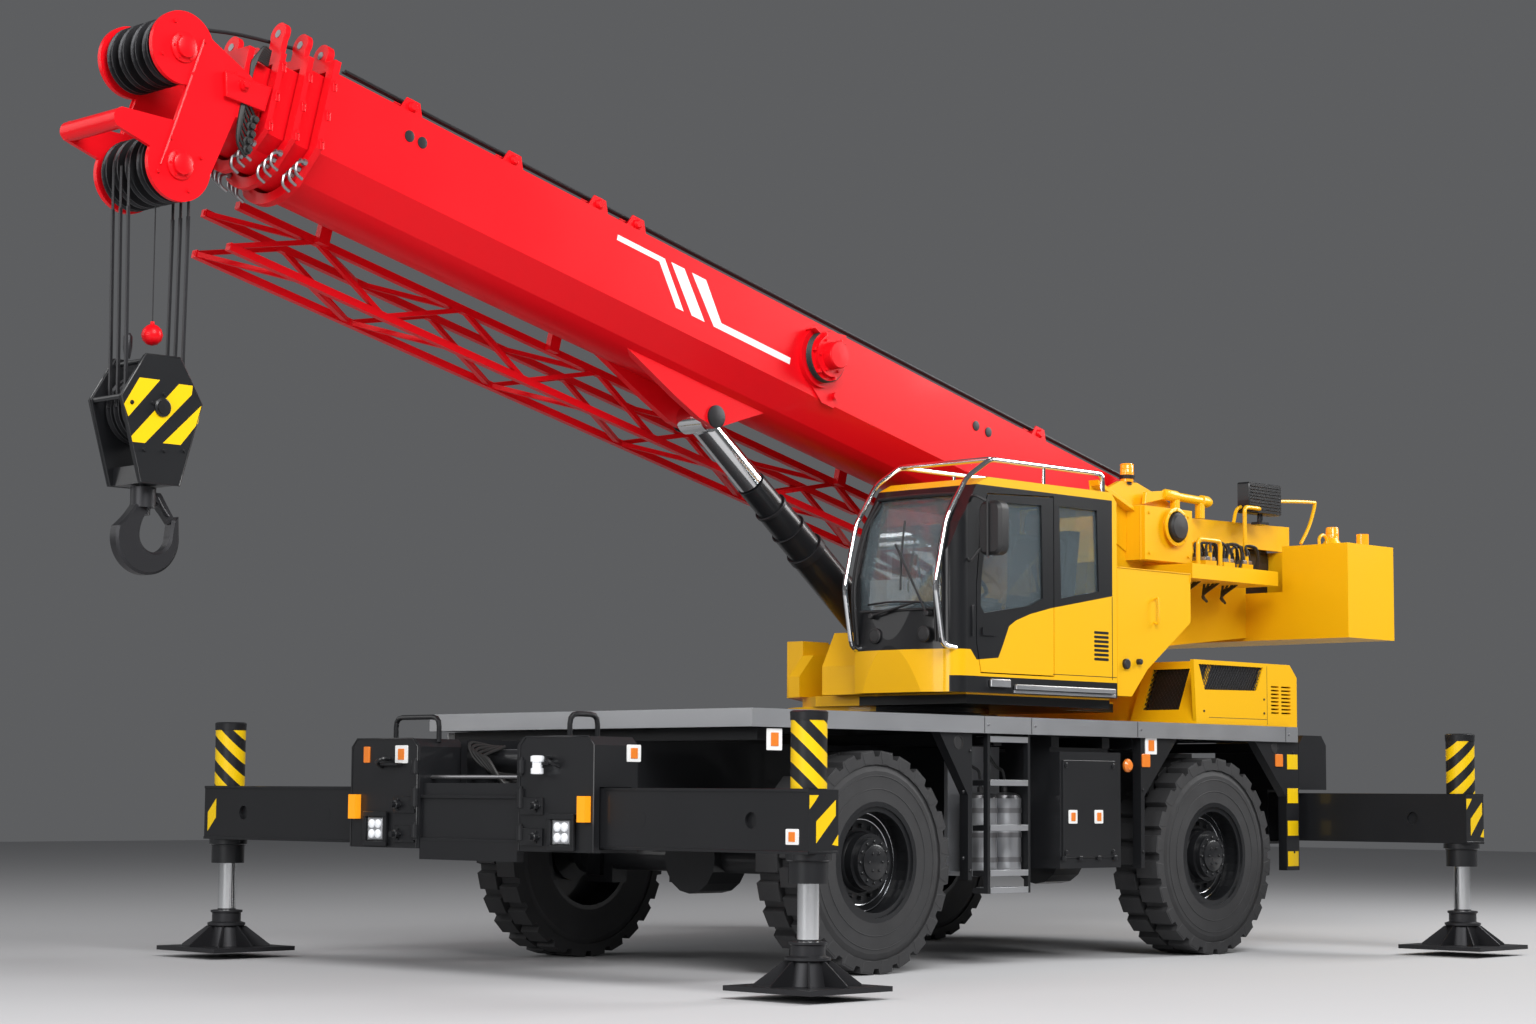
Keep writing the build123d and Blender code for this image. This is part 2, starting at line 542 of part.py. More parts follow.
def cab_form(inset):
    """The cab's closed form, its side outline and its plan shrunk by an inset."""
    side_view = outline([(CAB_BACK, CAB_BOTTOM), (1000, CAB_BOTTOM), (1030, 2080), (1000, 2500), (900, 2860),
                         (740, 3110), (620, CAB_ROOF), (CAB_BACK + 60, CAB_ROOF), (CAB_BACK, 3100)],
                        Plane.XZ.offset(-400))
    with BuildSketch(Plane.XY.offset(1700)) as plan:
        with BuildLine():
            Polyline((975, CAB_INNER), (CAB_BACK, CAB_INNER), (CAB_BACK, CAB_OUTER), (830, CAB_OUTER))
            ThreePointArc((830, CAB_OUTER), (915, 1395), (955, 1320))
            ThreePointArc((955, 1320), (1028, 950), (975, CAB_INNER))
        make_face()
    with BuildSketch(Plane.XZ.offset(-400)) as side_face:
        add(side_view)
        if inset:
            offset(amount=-inset, kind=Kind.INTERSECTION)
    with BuildSketch(Plane.XY.offset(1700)) as plan_face:
        add(plan.sketch)
        if inset:
            offset(amount=-inset, kind=Kind.INTERSECTION)
    with BuildPart() as form:
        extrude(side_face.sketch, amount=-1200)
        extrude(plan_face.sketch, amount=1600, mode=Mode.INTERSECT)
    return form.part


DOOR_OUTLINE = [(DOOR_REAR, 1884), (700, 1884), (745, 2080), (745, 2450), (700, 2860), (630, 3060),
                (DOOR_REAR, 3090)]
DOOR_WINDOW = [(55, 2400), (190, 2345), (660, 2275), (700, 2320), (690, 2500), (640, 2850), (570, 3010),
               (70, 3020)]
REAR_SIDE_WINDOW = [(-550, 2480), (-140, 2410), (-120, 3030), (-530, 3030)]


def window_cutters():
    """Blocks that stand through every window of the cab but the door's."""
    with BuildPart() as cutters:
        span((700, 1200), (CAB_INNER + 60, CAB_OUTER - 110), (2300, 3050))
        side_plate(REAR_SIDE_WINDOW, CAB_OUTER - 60, CAB_OUTER + 60)
        side_plate([(-600, 2420), (700, 2300), (700, 3000), (-600, 3020)], CAB_INNER - 60, CAB_INNER + 60)
        span((CAB_BACK - 60, CAB_BACK + 60), (CAB_INNER + 120, CAB_OUTER - 140), (2700, 3020))
    return cutters.part


with BuildPart() as cab_shell:
    add(cab_form(0))
    add(cab_form(40), mode=Mode.SUBTRACT)
    add(window_cutters(), mode=Mode.SUBTRACT)
    side_plate(DOOR_OUTLINE, CAB_OUTER - 80, CAB_OUTER + 60, mode=Mode.SUBTRACT)
save(cab_shell, "cab_shell")

with BuildPart() as cab_glass:
    add(cab_form(14))
    add(cab_form(22), mode=Mode.SUBTRACT)
    add(window_cutters(), mode=Mode.INTERSECT)
save(cab_glass, "cab_glass")

with BuildPart() as cab_door:
    with BuildSketch(Plane.XZ.offset(-CAB_OUTER + 40)) as door_face:
        add(outline(DOOR_OUTLINE, Plane.XZ.offset(-CAB_OUTER + 40)))
        offset(amount=-CLEAR, kind=Kind.INTERSECTION)
    extrude(door_face.sketch, amount=-40)
    side_plate(DOOR_WINDOW, CAB_OUTER - 80, CAB_OUTER + 60, mode=Mode.SUBTRACT)
    span((560, 690), (CAB_OUTER - 4, CAB_OUTER + 10), (2130, 2180))
save(cab_door, "cab_door")

with BuildPart() as door_glass:
    side_plate(DOOR_WINDOW, CAB_OUTER - 24, CAB_OUTER - 16)
save(door_glass, "door_glass")

with BuildPart() as cab_seat:
    span((-500, 0), (740, 1240), (2150, 2280))
    side_plate([(-500, 2230), (-350, 2230), (-480, 2900), (-600, 2900)], 760, 1220)
    span((-420, -80), (840, 1140), (1800, 2150))
    for y in (640, 1240):
        span((-350, 50), (y, y + 90), (2280, 2420))
        span((-250, -100), (y + 10, y + 60), (1800, 2280))
    span((480, 760), (720, 1250), (1800, 2150))
save(cab_seat, "cab_seat")

RAIL_R = 17
RAIL_Y = (600, 1385)
RAIL_TOP = 3290
with BuildPart() as cab_rails:
    for y in RAIL_Y:
        bent_bar([(890, y, 2040), (1035, y, 2055), (1110, y, 2450), (1000, y, 2870), (800, y, 3150),
                  (560, y, RAIL_TOP), (-640, y, RAIL_TOP), (-640, y, CAB_ROOF - 15)], 50, RAIL_R)
        rod((0, y, CAB_ROOF - 15), (0, y, RAIL_TOP), 12)
    rod((560, RAIL_Y[0], RAIL_TOP), (560, RAIL_Y[1], RAIL_TOP), RAIL_R)
    add(cab_form(0), mode=Mode.SUBTRACT)
save(cab_rails, "cab_rails")

with BuildPart() as mirror:
    rod((780, CAB_OUTER, 2940), (780, 1590, 2940), 12)
    span((750, 810), (1530, 1650), (2640, 2980))
save(mirror, "mirror")

# ---------------------------------------------------------------- boom
SECTION_GAP = 22
SECTION_WALL = 16


def boom_outline(inset, along):
    """A boom section's profile: flat sides, an inward slope and a round belly."""
    half = BOOM_HALF - inset
    top = BOOM_TOP - inset
    edge = BOOM_EDGE
    belly = BOOM_BOTTOM + inset
    with BuildSketch(boom_plane(along)) as profile:
        with BuildLine():
            Polyline((-half * 0.62, belly + 80), (-half, edge), (-half, top), (half, top), (half, edge),
                     (half * 0.62, belly + 80))
            ThreePointArc((half * 0.62, belly + 80), (0, belly), (-half * 0.62, belly + 80))
        make_face()
    return profile.sketch


def boom_tube(inset, start, end, collar_start, collar_rise):
    """The outside of a boom section, with a collar about its mouth."""
    extrude(boom_outline(inset, start), amount=end - start)
    extrude(boom_outline(inset - collar_rise, collar_start), amount=end - collar_start)


def collar_ears(along, thickness, inset):
    """Round lugs that stand on a collar's top corners, each with a pin's hole."""
    with BuildSketch(boom_plane(along)) as ears:
        for side in SIDES:
            with Locations((side * EAR_Y, EAR_HEIGHT)):
                Circle(EAR_R)
            low = BOOM_TOP - inset - 20
            with Locations((side * EAR_Y, (low + EAR_HEIGHT) / 2)):
                Rectangle(EAR_R * 1.7, EAR_HEIGHT - low)
            with Locations((side * EAR_Y, EAR_HEIGHT)):
                Circle(EAR_HOLE_R, mode=Mode.SUBTRACT)
    extrude(ears.sketch, amount=thickness)


def boom_bore(inset, start, end):
    """The hollow that the next section slides in."""
    extrude(boom_outline(inset + SECTION_WALL, start - 10), amount=end - start + 20, mode=Mode.SUBTRACT)


STEP = SECTION_WALL + SECTION_GAP
SECTIONS = [("boom_base", 0, -300, 7980, 7935), ("tele_1", STEP, 300, 8130, 8095),
            ("tele_2", 2 * STEP, 500, 8290, 8255)]          # name, inset, tail, mouth, collar's start
COLLAR_RISE = 50
EAR_Y = 225                   # the collars' lugs, from the middle
EAR_HEIGHT = 385
EAR_R = 70
EAR_HOLE_R = 24
SADDLE_OUTLINE = [(3900, -380), (5300, -380), (4750, -560), (4500, -630), (4330, -640), (4200, -560)]

for name, inset, tail, mouth, collar in SECTIONS:
    with BuildPart() as section:
        boom_tube(inset, tail, mouth, collar, COLLAR_RISE)
        collar_ears(collar, mouth - collar, inset)
        if name == "boom_base":
            for side in SIDES:
                low, high = sorted((side * BOOM_HALF, side * (PLATE_IN - CLEAR)))
                rod((PIVOT_X, low, PIVOT_Z), (PIVOT_X, high, PIVOT_Z), 130)
                low, high = sorted((side * 110, side * 160))
                boom_side(SADDLE_OUTLINE, low, high)
        boom_bore(inset, tail, mouth)
    save(section, name)

HEAD_INSET = 3 * STEP
HEAD_MOUTH = 8480
SHEAVES = [(8887, 26, 190), (8742, -614, 200)]           # along, height, radius of the head's two rows
SHEAVE_Y = (-170, -60, 60, 170)
SHEAVE_SIDES = 32
SHEAVE_RIM = [(-25, 0), (-17, 0), (-8, 22), (8, 22), (17, 0), (25, 0)]     # across, depth below the flanges
HEAD_CHEEK_Y = (235, 265)
HEAD_CHEEK = [(8860, -670), (8790, -20), (8760, 160), (8570, 100), (8445, 60), (8460, -180), (8540, -600)]
HEAD_ARM = [(8610, 0), (8300, 30), (8310, -110), (8570, -130)]
HEAD_NOSE = [(8780, -380), (9170, -450), (9170, -560), (8820, -600)]


def grooved_sheave(x, y, z, radius):
    """A rope sheave with a groove round its rim."""
    ring_stack([(across, radius - depth) for across, depth in SHEAVE_RIM], SHEAVE_SIDES, x, y, z, 1)


with BuildPart() as boom_head:
    extrude(boom_outline(HEAD_INSET, 700), amount=HEAD_MOUTH - 700)
    extrude(boom_outline(HEAD_INSET - COLLAR_RISE, HEAD_MOUTH - 40), amount=40)
    extrude(boom_outline(HEAD_INSET + SECTION_WALL, 690), amount=HEAD_MOUTH - 710, mode=Mode.SUBTRACT)
    for side in SIDES:
        low, high = sorted((side * HEAD_CHEEK_Y[0], side * HEAD_CHEEK_Y[1]))
        boom_side(HEAD_CHEEK, low, high)
        for along, height, radius in SHEAVES:
            rod(boom_xyz(along, low, height), boom_xyz(along, high, height), 205)
        low, high = sorted((side * HEAD_CHEEK_Y[0], side * (HEAD_CHEEK_Y[1] + 30)))
        boom_side(HEAD_ARM, low, high)
        rod(boom_xyz(8480, low, -30), boom_xyz(8480, high, -30), 78)
        rod(boom_xyz(8480, low, -30), boom_xyz(8480, side * (HEAD_CHEEK_Y[1] + 50), -30), 32)
        low, high = sorted((side * HEAD_CHEEK_Y[0], side * HEAD_CHEEK_Y[1]))
        boom_side(HEAD_NOSE, low, high)
    for along, height, radius in SHEAVES:
        rod(boom_xyz(along, -300, height), boom_xyz(along, 300, height), 45)
    rod(boom_xyz(9150, -HEAD_CHEEK_Y[1], -506), boom_xyz(9150, HEAD_CHEEK_Y[1], -506), 55)
save(boom_head, "boom_head")

with BuildPart() as head_sheaves:
    for along, height, radius in SHEAVES:
        for y in SHEAVE_Y:
            x, z = boom_point(along, height)
            grooved_sheave(x, y, z, radius)
        rod(boom_xyz(along, -234, height), boom_xyz(along, 234, height), 70)
        rod(boom_xyz(along, -234, height), boom_xyz(along, 234, height), 45.05, mode=Mode.SUBTRACT)
save(head_sheaves, "head_sheaves")

JIB_Y = (-740, -400)
JIB_H = (-680, -420)
with BuildPart() as stowed_jib:
    for y in JIB_Y:
        for height in JIB_H:
            square_bar(boom_xyz(2000, y, height), boom_xyz(7900, y, height), 46)
    for bay in range(10):
        near, far = 2000 + 590 * bay, 2590 + 590 * bay
        up = bay % 2
        for y in JIB_Y:
            square_bar(boom_xyz(near, y, JIB_H[up]), boom_xyz(far, y, JIB_H[1 - up]), 30)
        for height in JIB_H:
            square_bar(boom_xyz(near, JIB_Y[up], height), boom_xyz(far, JIB_Y[1 - up], height), 30)
    for along in (2600, 5400, 7300):
        boom_side([(along - 40, -440), (along + 40, -440), (along + 40, -100), (along - 40, -100)],
                  JIB_Y[1] + 23, -BOOM_HALF)
save(stowed_jib, "stowed_jib")

with BuildPart() as cable_reel:
    reel_x, reel_z = boom_point(3690, 60)
    rod((reel_x, BOOM_HALF, reel_z), (reel_x, BOOM_HALF + 36, reel_z), 205)
    rod((reel_x, BOOM_HALF + 36, reel_z), (reel_x, BOOM_HALF + 90, reel_z), 165)
    rod((reel_x, BOOM_HALF + 90, reel_z), (reel_x, BOOM_HALF + 120, reel_z), 140)
    rod((reel_x, BOOM_HALF + 120, reel_z), (reel_x, BOOM_HALF + 185, reel_z), 92)
    boom_side([(3820, -90), (3600, -230), (3480, -230), (3480, -120), (3560, -90)], BOOM_HALF, BOOM_HALF + 12)
    rod(boom_xyz(3500, BOOM_HALF, -150), boom_xyz(3500, BOOM_HALF + 40, -150), 25)
    boom_side([(3860, 200), (3560, 255), (3540, 200), (3700, 160)], BOOM_HALF, BOOM_HALF + 90)
save(cable_reel, "cable_reel")

# ---------------------------------------------------------------- hook
BLOCK_X, BLOCK_PIN_Z = boom_point(SHEAVES[1][0], SHEAVES[1][1])
BLOCK_HALF = 160
BLOCK_OUTLINE = [(-110, 3465), (110, 3465), (260, 3222), (125, 2760), (-125, 2760), (-260, 3222)]
BLOCK_BARS = [(-105, 3430, 14), (105, 3430, 14), (-238, 3222, 16), (238, 3222, 16)]   # off centre, Z, radius
BLOCK_AXLE_Z = 3180
FALL_Y = (-75, 0, 75)
with BuildPart() as hook_block:
    for side in SIDES:
        low, high = sorted((side * (BLOCK_HALF - 30), side * BLOCK_HALF))
        side_plate([(BLOCK_X + off, z) for off, z in BLOCK_OUTLINE], low, high)
    rod((BLOCK_X, -BLOCK_HALF, BLOCK_AXLE_Z), (BLOCK_X, BLOCK_HALF, BLOCK_AXLE_Z), 50)
    for off, z, radius in BLOCK_BARS:
        rod((BLOCK_X + off, -BLOCK_HALF, z), (BLOCK_X + off, BLOCK_HALF, z), radius)
    span((BLOCK_X - 110, BLOCK_X + 110), (30 - BLOCK_HALF, BLOCK_HALF - 30), (2760, 2860))
    with BuildSketch(Plane.XY.offset(2740)) as swivel_bore:
        with Locations((BLOCK_X, 0)):
            Circle(40.05)
    extrude(swivel_bore.sketch, amount=100, mode=Mode.SUBTRACT)
save(hook_block, "hook_block")

with BuildPart() as hoist_falls:
    for y in FALL_Y:
        grooved_sheave(BLOCK_X, y, BLOCK_AXLE_Z, 190)
    rod((BLOCK_X, 1 + 30 - BLOCK_HALF, BLOCK_AXLE_Z), (BLOCK_X, BLOCK_HALF - 31, BLOCK_AXLE_Z), 80)
    rod((BLOCK_X, 1 + 30 - BLOCK_HALF, BLOCK_AXLE_Z), (BLOCK_X, BLOCK_HALF - 31, BLOCK_AXLE_Z), 50.05,
        mode=Mode.SUBTRACT)
    for y in FALL_Y:
        for side in SIDES:
            square_bar((BLOCK_X + side * 180, y, BLOCK_AXLE_Z), (BLOCK_X + side * 196, y, 4280), 16)
save(hoist_falls, "hoist_falls")

HOOK_HALF = 42
HOOK_BEVEL = 14
HOOK_BOWL = (-61, 2493, 97)    # off centre, Z, radius of the inside of the hook's bowl


def hook_outline(inset, y):
    """The forged hook's outline, shrunk by an inset: inner arc, neck, round back and tip."""
    middle = BLOCK_X + HOOK_BOWL[0]
    height = HOOK_BOWL[1]
    inner = HOOK_BOWL[2] + inset
    neck_in = BLOCK_X - 40 + inset
    neck_out = BLOCK_X + 40 - inset
    back = BLOCK_X + 181 - inset
    front = BLOCK_X - 219 + inset
    tip = (BLOCK_X - 215 + inset, 2604 - inset)
    lip = (BLOCK_X - 170 - inset, 2582 - inset)
    with BuildSketch(Plane.XZ.offset(-y)) as face:
        with BuildLine():
            ThreePointArc((middle - inner, height), (middle, height - inner), (middle + inner, height))
            ThreePointArc((middle + inner, height), (BLOCK_X + 12 + inset, 2585), (neck_in, 2650))
            Line((neck_in, 2650), (neck_in, 2700))
            Line((neck_in, 2700), (neck_out, 2700))
            ThreePointArc((neck_out, 2700), (BLOCK_X + 80 - inset, 2635), (back, 2530))
            ThreePointArc((back, 2530), (BLOCK_X - 12, 2271 + inset), (front, 2503))
            Line((front, 2503), tip)
            Line(tip, lip)
            Line(lip, (middle - inner, height))
        make_face()
    return face.sketch


with BuildPart() as hook:
    rod((BLOCK_X, 0, 2600), (BLOCK_X, 0, 2800), 40)
    rod((BLOCK_X, 0, 2640), (BLOCK_X, 0, 2752), 70)
    extrude(hook_outline(0, HOOK_BEVEL - HOOK_HALF), amount=2 * (HOOK_BEVEL - HOOK_HALF))
    for side in SIDES:
        loft([hook_outline(0, side * (HOOK_HALF - HOOK_BEVEL)), hook_outline(HOOK_BEVEL, side * HOOK_HALF)],
             ruled=True)
    side_plate([(BLOCK_X - 40, 2730), (BLOCK_X - 100, 2725), (BLOCK_X - 185, 2600), (BLOCK_X - 160, 2560),
                (BLOCK_X - 85, 2650), (BLOCK_X - 40, 2660)], -22, 22)
    rod((BLOCK_X - 84, -34, 2692), (BLOCK_X - 84, 34, 2692), 26)
save(hook, "hook")

# ---------------------------------------------------------------- lift cylinder
lift_length = hypot(LIFT_EYE[0] - LIFT_FOOT[0], LIFT_EYE[1] - LIFT_FOOT[1])
lift_dx = (LIFT_EYE[0] - LIFT_FOOT[0]) / lift_length
lift_dz = (LIFT_EYE[1] - LIFT_FOOT[1]) / lift_length


def lift_xyz(along):
    return (LIFT_FOOT[0] + along * lift_dx, 0, LIFT_FOOT[1] + along * lift_dz)


GLAND = 2050
TUBE_WALL = 9
ROD_START = GLAND + 14         # the linkage is open here, between the last tube and the rod
TUBES = [("lift_barrel", 140, 1400, 130), ("lift_stage_1", 340, 1600, 120), ("lift_stage_2", 530, 1820, 110),
         ("lift_stage_3", 720, GLAND, 100)]        # name, tail, mouth, radius
for name, tail, mouth, radius in TUBES:
    with BuildPart() as tube:
        if name == "lift_barrel":
            rod(lift_xyz(100), lift_xyz(mouth), radius)
            rod((LIFT_FOOT[0], -140, LIFT_FOOT[1]), (LIFT_FOOT[0], 140, LIFT_FOOT[1]), 120)
            rod(lift_xyz(tail), lift_xyz(mouth + 10), radius - TUBE_WALL, mode=Mode.SUBTRACT)
        elif name == "lift_stage_3":
            rod(lift_xyz(tail), lift_xyz(mouth), radius)
        else:
            rod(lift_xyz(tail), lift_xyz(mouth), radius)
            rod(lift_xyz(tail - 10), lift_xyz(mouth + 10), radius - TUBE_WALL, mode=Mode.SUBTRACT)
    save(tube, name)

with BuildPart() as lift_rod:
    rod(lift_xyz(ROD_START), lift_xyz(lift_length - 60), 90)
    rod((LIFT_EYE[0], -109, LIFT_EYE[1]), (LIFT_EYE[0], 109, LIFT_EYE[1]), 95)
save(lift_rod, "lift_rod")
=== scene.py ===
# %% [markdown]
# # A two-axle mobile crane
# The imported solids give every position, and this lesson dresses them: paint, rubber, glass, ropes and the
# small pieces that a maker would bolt on.  Each new piece is a surface worked out as whole numpy arrays,
# because then its formula can be read in one place and changed with one number.

# %% Load the frame
import bmesh
import bpy
import json
import numpy as np
from mathutils import Matrix, Vector


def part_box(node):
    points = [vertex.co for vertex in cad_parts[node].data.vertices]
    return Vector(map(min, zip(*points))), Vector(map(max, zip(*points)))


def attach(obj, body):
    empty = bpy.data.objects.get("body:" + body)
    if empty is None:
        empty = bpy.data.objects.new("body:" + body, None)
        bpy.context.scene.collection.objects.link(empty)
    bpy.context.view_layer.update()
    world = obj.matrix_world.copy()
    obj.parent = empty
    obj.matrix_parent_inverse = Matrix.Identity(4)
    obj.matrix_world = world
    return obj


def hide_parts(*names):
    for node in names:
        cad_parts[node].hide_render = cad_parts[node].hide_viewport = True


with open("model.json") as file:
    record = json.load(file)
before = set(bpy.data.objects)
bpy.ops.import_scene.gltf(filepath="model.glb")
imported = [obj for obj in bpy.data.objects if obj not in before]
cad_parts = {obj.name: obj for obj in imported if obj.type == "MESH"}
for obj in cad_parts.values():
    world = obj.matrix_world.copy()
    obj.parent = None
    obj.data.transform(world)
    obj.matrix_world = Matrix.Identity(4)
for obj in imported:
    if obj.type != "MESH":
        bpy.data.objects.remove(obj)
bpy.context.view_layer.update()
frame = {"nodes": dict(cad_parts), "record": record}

# %% [markdown]
# ## Where things stand
# The slewing axis is the middle of everything that turns, so most places are measured from it.  The frame
# gives it as the place of the slew joint, and the boom's own axes come from its slides in the same way.

# %% Places read from the frame
joints = {joint["name"]: joint for joint in frame["record"]["behaviour"]["joints"]}
SLEW_X = joints["slew"]["pos_m"][0]
PIVOT = np.array(joints["luff"]["pos_m"])
BOOM_U = np.array(joints["tele_1_out"]["axis"], float)
BOOM_U /= np.linalg.norm(BOOM_U)
BOOM_W = np.array([-BOOM_U[2], 0.0, BOOM_U[0]])
LEFT = np.array([0.0, 1.0, 0.0])
FORWARD, UP = np.array([1.0, 0.0, 0.0]), np.array([0.0, 0.0, 1.0])
LIFT_FOOT = np.array(joints["lift_swing"]["pos_m"])
LIFT_U = np.array(joints["lift_stage_1_out"]["axis"], float)
LIFT_U /= np.linalg.norm(LIFT_U)
CORNERS = [("fl", 1, 1), ("fr", 1, -1), ("rl", -1, 1), ("rr", -1, -1)]   # name, end, side
SIDES = (1, -1)


def at(x, y, z):
    """A point measured forward from the slewing axis, to the left and up from the ground."""
    return np.array([SLEW_X + x, y, z], float)


def on_boom(along, y, height):
    """A point measured along the boom from its pivot, to the left, and square above it."""
    return PIVOT + along * BOOM_U + y * LEFT + height * BOOM_W


def on_lift(along):
    """A point measured along the lift cylinder from its foot."""
    return LIFT_FOOT + along * LIFT_U


print("slewing axis at x =", round(SLEW_X, 3), "boom rises", round(float(BOOM_U[2]), 3), "a metre")

# %% [markdown]
# ## Camera, floor and light
# The camera stands low in front of the left corner.  A pale sweep of floor and three large soft lamps keep
# the black carrier readable, and a fourth lamp behind draws a bright line along the boom.

# %% Camera
EYE = at(15.2123, 13.5237, 1.1054)
LOOK = np.array([-0.71583, -0.69166, 0.09587])
ROLL = 0.0063
FOCAL_MM = 68.35

look = Vector(LOOK).normalized()
right = look.cross(Vector((0, 0, 1))).normalized()
up = right.cross(look)
rolled_right = right * np.cos(ROLL) + up * np.sin(ROLL)
rolled_up = up * np.cos(ROLL) - right * np.sin(ROLL)
camera_data = bpy.data.cameras.new("camera")
camera_data.lens = FOCAL_MM
camera_data.sensor_width = 36
camera_data.clip_end = 200
camera = bpy.data.objects.new("camera", camera_data)
turn = Matrix((rolled_right, rolled_up, -look)).transposed().to_4x4()
camera.matrix_world = Matrix.Translation(Vector(EYE)) @ turn
bpy.context.collection.objects.link(camera)
bpy.context.scene.camera = camera
print("camera", FOCAL_MM, "mm at", [round(float(v), 2) for v in EYE])

# %% [markdown]
# ## Shader sums
# A node tree is easier to read as arithmetic.  `Sum` wraps one output socket, and each operator adds the
# Math node that does it, so `0.3 + 0.1 * noise` builds two nodes.  `Paint` owns a material and adds every
# other kind of node with one method.

# %% Shader helper
class Sum:
    """A number in a shader.  Ordinary operators on it add Math nodes."""

    def __init__(self, paint, socket):
        self.paint, self.socket = paint, socket

    def join(self, operation, *values):
        node = self.paint.tree.nodes.new("ShaderNodeMath")
        node.operation = operation
        for place, value in enumerate((self, *values)):
            self.paint.feed(node.inputs[place], value)
        return Sum(self.paint, node.outputs[0])

    def __add__(self, other):
        return self.join("ADD", other)

    def __sub__(self, other):
        return self.join("SUBTRACT", other)

    def __mul__(self, other):
        return self.join("MULTIPLY", other)

    def __truediv__(self, other):
        return self.join("DIVIDE", other)

    def __rsub__(self, other):
        return self.join("MULTIPLY", -1.0).join("ADD", other)

    __radd__ = __add__
    __rmul__ = __mul__

    def above(self, level):
        return self.join("GREATER_THAN", level)

    def absolute(self):
        return self.join("ABSOLUTE")

    def wave(self):
        return self.join("SINE")

    def repeat(self, length):
        return self.join("FLOORED_MODULO", length)

    def clamp(self):
        node = self.paint.tree.nodes.new("ShaderNodeClamp")
        self.paint.feed(node.inputs["Value"], self)
        return Sum(self.paint, node.outputs[0])


class Paint:
    """One material.  Its `node` method adds a node, sets it up, then feeds its sockets by name."""

    def __init__(self, name, colour, roughness, metallic=0.0, coat=0.0, **constants):
        self.material = bpy.data.materials.new(name)
        self.material.use_nodes = True
        self.tree = self.material.node_tree
        self.surface = self.tree.nodes["Principled BSDF"]
        self.set("Base Color", (*colour, 1.0))
        self.set("Roughness", roughness)
        self.set("Metallic", metallic)
        self.set("Coat Weight", coat)
        for socket, value in constants.items():
            self.set(socket.replace("_", " "), value)

    def feed(self, socket, value):
        if isinstance(value, Sum):
            self.tree.links.new(value.socket, socket)
        elif isinstance(value, bpy.types.NodeSocket):
            self.tree.links.new(value, socket)
        else:
            socket.default_value = value

    def set(self, name, value):
        self.feed(self.surface.inputs[name], value)

    def node(self, kind, settings=None, **sockets):
        node = self.tree.nodes.new("ShaderNode" + kind)
        for name, value in (settings or {}).items():
            setattr(node, name, value)
        for name, value in sockets.items():
            self.feed(node.inputs[name.replace("_", " ")], value)
        return node

    def place(self):
        """The object's own coordinates as three numbers, in metres."""
        where = self.node("TexCoord").outputs["Object"]
        parts = self.node("SeparateXYZ", Vector=where)
        return where, [Sum(self, parts.outputs[axis]) for axis in "XYZ"]

    def noise(self, scale, detail=3.0, where=None):
        """A cloudy number between 0 and 1."""
        where = where if where is not None else self.node("TexCoord").outputs["Object"]
        cloud = self.node("TexNoise", Vector=where, Scale=scale, Detail=detail)
        return Sum(self, cloud.outputs[0])

    def mix(self, share, first, second):
        """The colour between first and second, by share."""
        node = self.node("Mix", {"data_type": "RGBA"})
        self.feed(node.inputs[0], share)
        self.feed(node.inputs[6], first if not isinstance(first, tuple) else (*first, 1.0))
        self.feed(node.inputs[7], second if not isinstance(second, tuple) else (*second, 1.0))
        return node.outputs[2]

    def bump(self, height, depth, strength=1.0):
        """Bends the light as if the surface stood height * depth metres proud."""
        node = self.node("Bump", Strength=strength, Distance=depth, Height=height)
        self.set("Normal", node.outputs["Normal"])


# %% [markdown]
# ## Finishes
# Paint on a work machine is glossy with a soft unevenness, so every paint gets a little cloud in its
# roughness.  Rubber is rough and grey where it is dusty; chrome is smooth metal; the black frame is satin.

# %% Materials
RED = (0.76, 0.004, 0.010)
YELLOW = (0.88, 0.47, 0.004)
BLACK = (0.011, 0.0115, 0.013)
SILVER = (0.52, 0.53, 0.55)
WHITE = (0.85, 0.85, 0.84)
HAZARD = (0.85, 0.55, 0.0)
IRON = (0.028, 0.028, 0.031)
CHROME = (0.78, 0.79, 0.80)
CLOUD = 2.0             # size of the clouds in a paint's gloss: higher is finer


def gloss_paint(name, colour, roughness, coat):
    """A sprayed paint: its gloss drifts by a few hundredths over a metre."""
    paint = Paint(name, colour, roughness, coat=coat, Coat_Roughness=0.06, Specular_IOR_Level=0.3)
    paint.set("Roughness", roughness + 0.10 * (paint.noise(CLOUD) - 0.5))
    paint.bump(paint.noise(260.0, 1.0), 0.00004, 0.35)
    return paint


red = gloss_paint("red_gloss", RED, 0.34, 0.06)
red.set("Specular IOR Level", 0.18)
yellow = gloss_paint("yellow_gloss", YELLOW, 0.33, 0.25)
black = gloss_paint("black_satin", BLACK, 0.36, 0.25)
hazard_yellow = gloss_paint("hazard_yellow", HAZARD, 0.4, 0.2)
white = Paint("white_marking", WHITE, 0.4)
plastic = Paint("black_plastic", (0.012, 0.012, 0.013), 0.5)
plastic.bump(plastic.noise(900.0, 2.0), 0.0001, 0.3)
silver = Paint("silver_trim", SILVER, 0.38, metallic=0.85)
silver.set("Roughness", 0.36 + 0.12 * (silver.noise(5.0) - 0.5))
chrome = Paint("chrome", CHROME, 0.12, metallic=1.0)
steel = Paint("worn_steel", (0.30, 0.30, 0.31), 0.36, metallic=0.9)
iron = Paint("dark_iron", IRON, 0.42, metallic=0.55)
rubber = Paint("tyre_rubber", (0.02, 0.02, 0.021), 0.66)
rubber.set("Base Color", rubber.mix(rubber.noise(6.0), (0.016, 0.016, 0.017), (0.034, 0.034, 0.036)))
